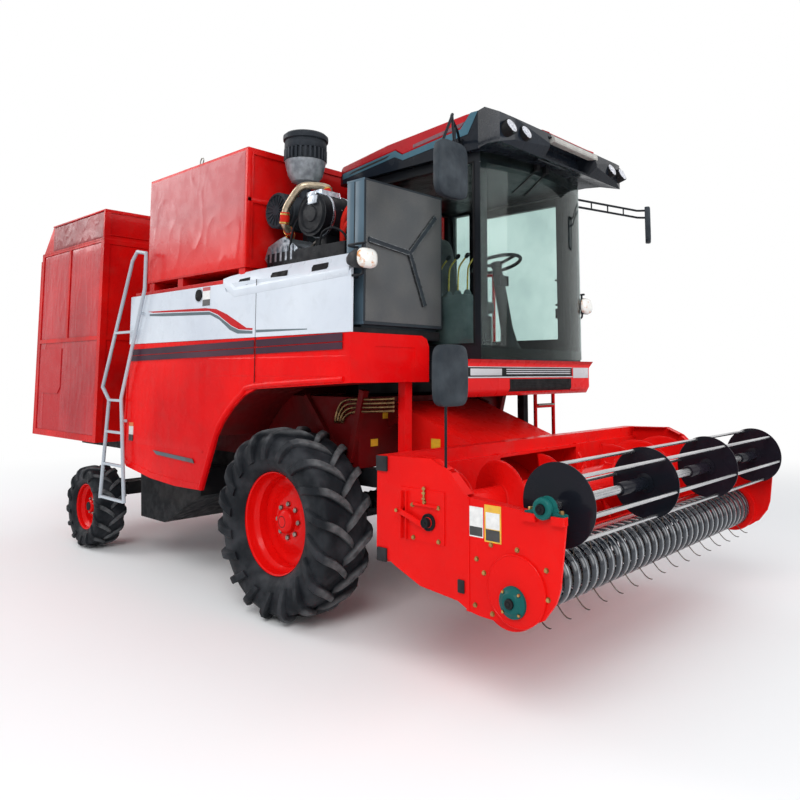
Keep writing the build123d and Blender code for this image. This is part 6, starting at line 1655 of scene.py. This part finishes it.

# ------------------------------------------------------------------ pick-up drum
# Thirty-three rolled steel stripper bands, stove-enamelled blue-black, stand side by side on a
# channel behind them. A bright, metallic highlight is painted along each band's crown.
BAND_BLUE, BAND_CREST_HIGHLIGHT = (0.008, 0.012, 0.020, 1), (0.50, 0.53, 0.56, 1)
BAND_COUNT, BAND_HALF, BAND_RADIUS, INSIDE = 33, 0.032, 0.135, 1.385

band_paint, tree, shader = shader_of("band_enamel")
pitch = 2 * INSIDE / BAND_COUNT
swing = place_along(tree)["Y"]
# distance from a gap's middle
for operation, by in (("ADD", INSIDE + pitch * 0.5), ("PINGPONG", pitch * 0.5)):
    step = tree.nodes.new("ShaderNodeMath")
    step.operation = operation
    tree.links.new(swing, step.inputs[0])
    step.inputs[1].default_value = by
    swing = step.outputs[0]
crest = spread(tree, swing, 1.0, 0.0, 0.002, 0.007)
# A painted highlight along each band's crown, broken up in clouds, which also turns the crown metallic.
crest_highlight = product(tree, crest, spread(tree, cloud(tree, 0.05, 4.0), 0.35, 1.0))
plug(tree, shader, two_shades(tree, crest_highlight, BAND_BLUE, BAND_CREST_HIGHLIGHT),
    spread(tree, cloud(tree, 0.05, 4.0), 0.16, 0.30), relief(tree, cloud(tree, 0.03), 0.0004, 0.3))
tree.links.new(spread(tree, crest_highlight, 0.1, 0.9, 0.0, 1.0), shader.inputs["Metallic"])
shader.inputs["Coat Weight"].default_value = 0.3
shader.inputs["Coat Roughness"].default_value = 0.1

bands = bmesh.new()
half = [(0.0, 0.0), (0.30, -0.0006), (0.56, -0.0022), (0.78, -0.0046), (0.93, -0.0076), (1.0, -0.0110),
    (1.0, -0.0125), (0.90, -0.0110), (0.60, -0.0058), (0.0, -0.0028)]
section = [(BAND_RADIUS + drop, w * BAND_HALF) for w, drop in half]
section += [(BAND_RADIUS + drop, -w * BAND_HALF) for w, drop in half[-2:0:-1]]
for k in range(BAND_COUNT):
    turn(bands, section, 72, (DRUM[0], -INSIDE + (k + 0.5) * pitch, DRUM[1]), closed=True)
back_x = DRUM[0] - BAND_RADIUS
along_y(bands, [(back_x - 0.026, 0.622), (back_x + 0.006, 0.622), (back_x + 0.006, 0.628),
    (back_x - 0.020, 0.628), (back_x - 0.020, 0.656), (back_x + 0.006, 0.656), (back_x + 0.006, 0.662),
    (back_x - 0.026, 0.662)], -INSIDE, INSIDE)
fit_piece(bands, "bands_dressed", "header", band_paint, ("stripper_bands",), 40)

shields = bmesh.new()  # red rings at the drum's ends
for side in (-1, 1):
    turn(shields, [(0.136, side * 1.362), (0.170, side * 1.362), (0.172, side * 1.368),
        (0.172, side * 1.376), (0.170, side * 1.3845), (0.136, side * 1.3845)], 64, (DRUM[0], 0, DRUM[1]),
        closed=True)
fit_piece(shields, "drum_rings", "header", header_red)

# ------------------------------------------------------------------ tine rotor
# A shaft inside the drum carries three square bars, and each bar holds spring-steel wire tines that
# sweep out between the bands at the bottom and the front. The shaft runs low and forward of the bands.
WIRE, WIRE_SHADE = (0.060, 0.052, 0.048, 1), (0.13, 0.10, 0.08, 1)
BARS, BAR_REACH, TIP_REACH, WIRE_RADIUS = 3, 0.060, 0.165, 0.0030

spring_wire = bare_metal("spring_wire", WIRE, WIRE_SHADE, 0.4)
rotor = bmesh.new()
add_tube(rotor, [(ROTOR[0], -1.417, ROTOR[1]), (ROTOR[0], 1.417, ROTOR[1])], 0.022, 20)
for bank in range(BARS):
    angle = math.radians(bank * 120 + 50)
    ahead, up = Vector((math.cos(angle), 0, -math.sin(angle))), Vector((math.sin(angle), 0, math.cos(angle)))
    hub = Vector((ROTOR[0], 0, ROTOR[1]))
    corners = [hub + ahead * (BAR_REACH + a) + up * b
        for a, b in ((-0.008, -0.008), (0.008, -0.008), (0.008, 0.008), (-0.008, 0.008))]
    along_y(rotor, [(c.x, c.z) for c in corners], -INSIDE + 0.03, INSIDE - 0.03)
    for y in (-INSIDE + 0.04, 0.0, INSIDE - 0.04):
        arm = [hub + ahead * a + up * b for a, b in ((0.0, -0.012), (0.066, -0.012), (0.066, 0.012),
            (0.0, 0.012))]
        along_y(rotor, [(c.x, c.z) for c in arm], y - 0.005, y + 0.005)
    for k in range(bank % 2 + 1, BAND_COUNT, 2):
        y = -INSIDE + k * pitch
        hook = [hub + ahead * a + up * b + Vector((0, y, 0))
            for a, b in ((BAR_REACH, 0.0), (0.10, 0.0), (0.128, 0.002), (0.148, 0.009), (0.160, 0.020),
            (TIP_REACH - 0.002, 0.027))]
        add_tube(rotor, hook, [WIRE_RADIUS] * 5 + [0.0018], 6)
        coil = [hub + ahead * (BAR_REACH + 0.012 * math.cos(t)) + up * 0.012 * math.sin(t)
            + Vector((0, y - 0.008 + 0.0013 * t, 0)) for t in (0.55 * j for j in range(23))]
        add_tube(rotor, coil, WIRE_RADIUS, 5)
fit_piece(rotor, "tine_rotor_dressed", "tine_rotor", spring_wire, ("tine_rotor",), 45)

# ------------------------------------------------------------------ reel
# Four flat discs, enamelled black, are clamped on a bright shaft by black sleeves. Six drawn steel
# rods run through their rims from end to end and press the crop on to the drum.
DISC_BLACK, DISC_WINE = (0.006, 0.009, 0.013, 1), (0.014, 0.010, 0.016, 1)
REEL_RADIUS, REEL_HALF, DISCS, RODS = 0.186, 1.289, 4, 6

disc_paint = sprayed("disc_enamel", DISC_BLACK, DISC_WINE, 0.22, 0.12, 0.002, 0.35)
disc_at = [-REEL_HALF + 2 * REEL_HALF * k / (DISCS - 1) for k in range(DISCS)]
discs = bmesh.new()
for y in disc_at:
    turn(discs, [(0.0, -0.0035), (0.10, -0.0035), (0.178, -0.0032), (REEL_RADIUS - 0.001, -0.0032),
        (REEL_RADIUS, -0.002), (REEL_RADIUS, 0.002), (REEL_RADIUS - 0.001, 0.0032), (0.178, 0.0032),
        (0.10, 0.0035), (0.0, 0.0035)], 96, (REEL[0], y, REEL[1]))
for y in disc_at[1:]:
    turn(discs, [(0.0225, -0.298), (0.031, -0.298), (0.032, -0.296), (0.032, -0.012), (0.050, -0.010),
        (0.050, -0.003), (0.0225, -0.003)], 32, (REEL[0], y, REEL[1]), closed=True)
fit_piece(discs, "reel_discs", "reel", disc_paint, ("reel",), 40)
rods = bmesh.new()
add_tube(rods, [(REEL[0], -1.417, REEL[1]), (REEL[0], 1.417, REEL[1])], 0.0215, 28)
for k in range(RODS):
    a = math.radians(60 * k - 10)
    x, z = REEL[0] + (REEL_RADIUS - 0.014) * math.cos(a), REEL[1] + (REEL_RADIUS - 0.014) * math.sin(a)
    add_tube(rods, [(x, -REEL_HALF + 0.002, z), (x, REEL_HALF - 0.002, z)], 0.009, 14)
fit_piece(rods, "reel_rods", "reel", shaft_steel)

# ------------------------------------------------------------------ auger
# A tube with a left-hand and a right-hand flight welded on, gloss red, that brings the crop to the
# middle, where steel fingers push it into the feeder.
soften("auger", header_red, 0)

# ------------------------------------------------------------------ ram rods
# Hard-chromed piston rods of the lift rams and the tank ram, with forged eyes.
chrome = bare_metal("hard_chrome", (0.62, 0.63, 0.65, 1), (0.50, 0.51, 0.53, 1), 0.12)
soften("lift_rods", chrome, 0.001)
soften("tank_rod", chrome, 0.001)
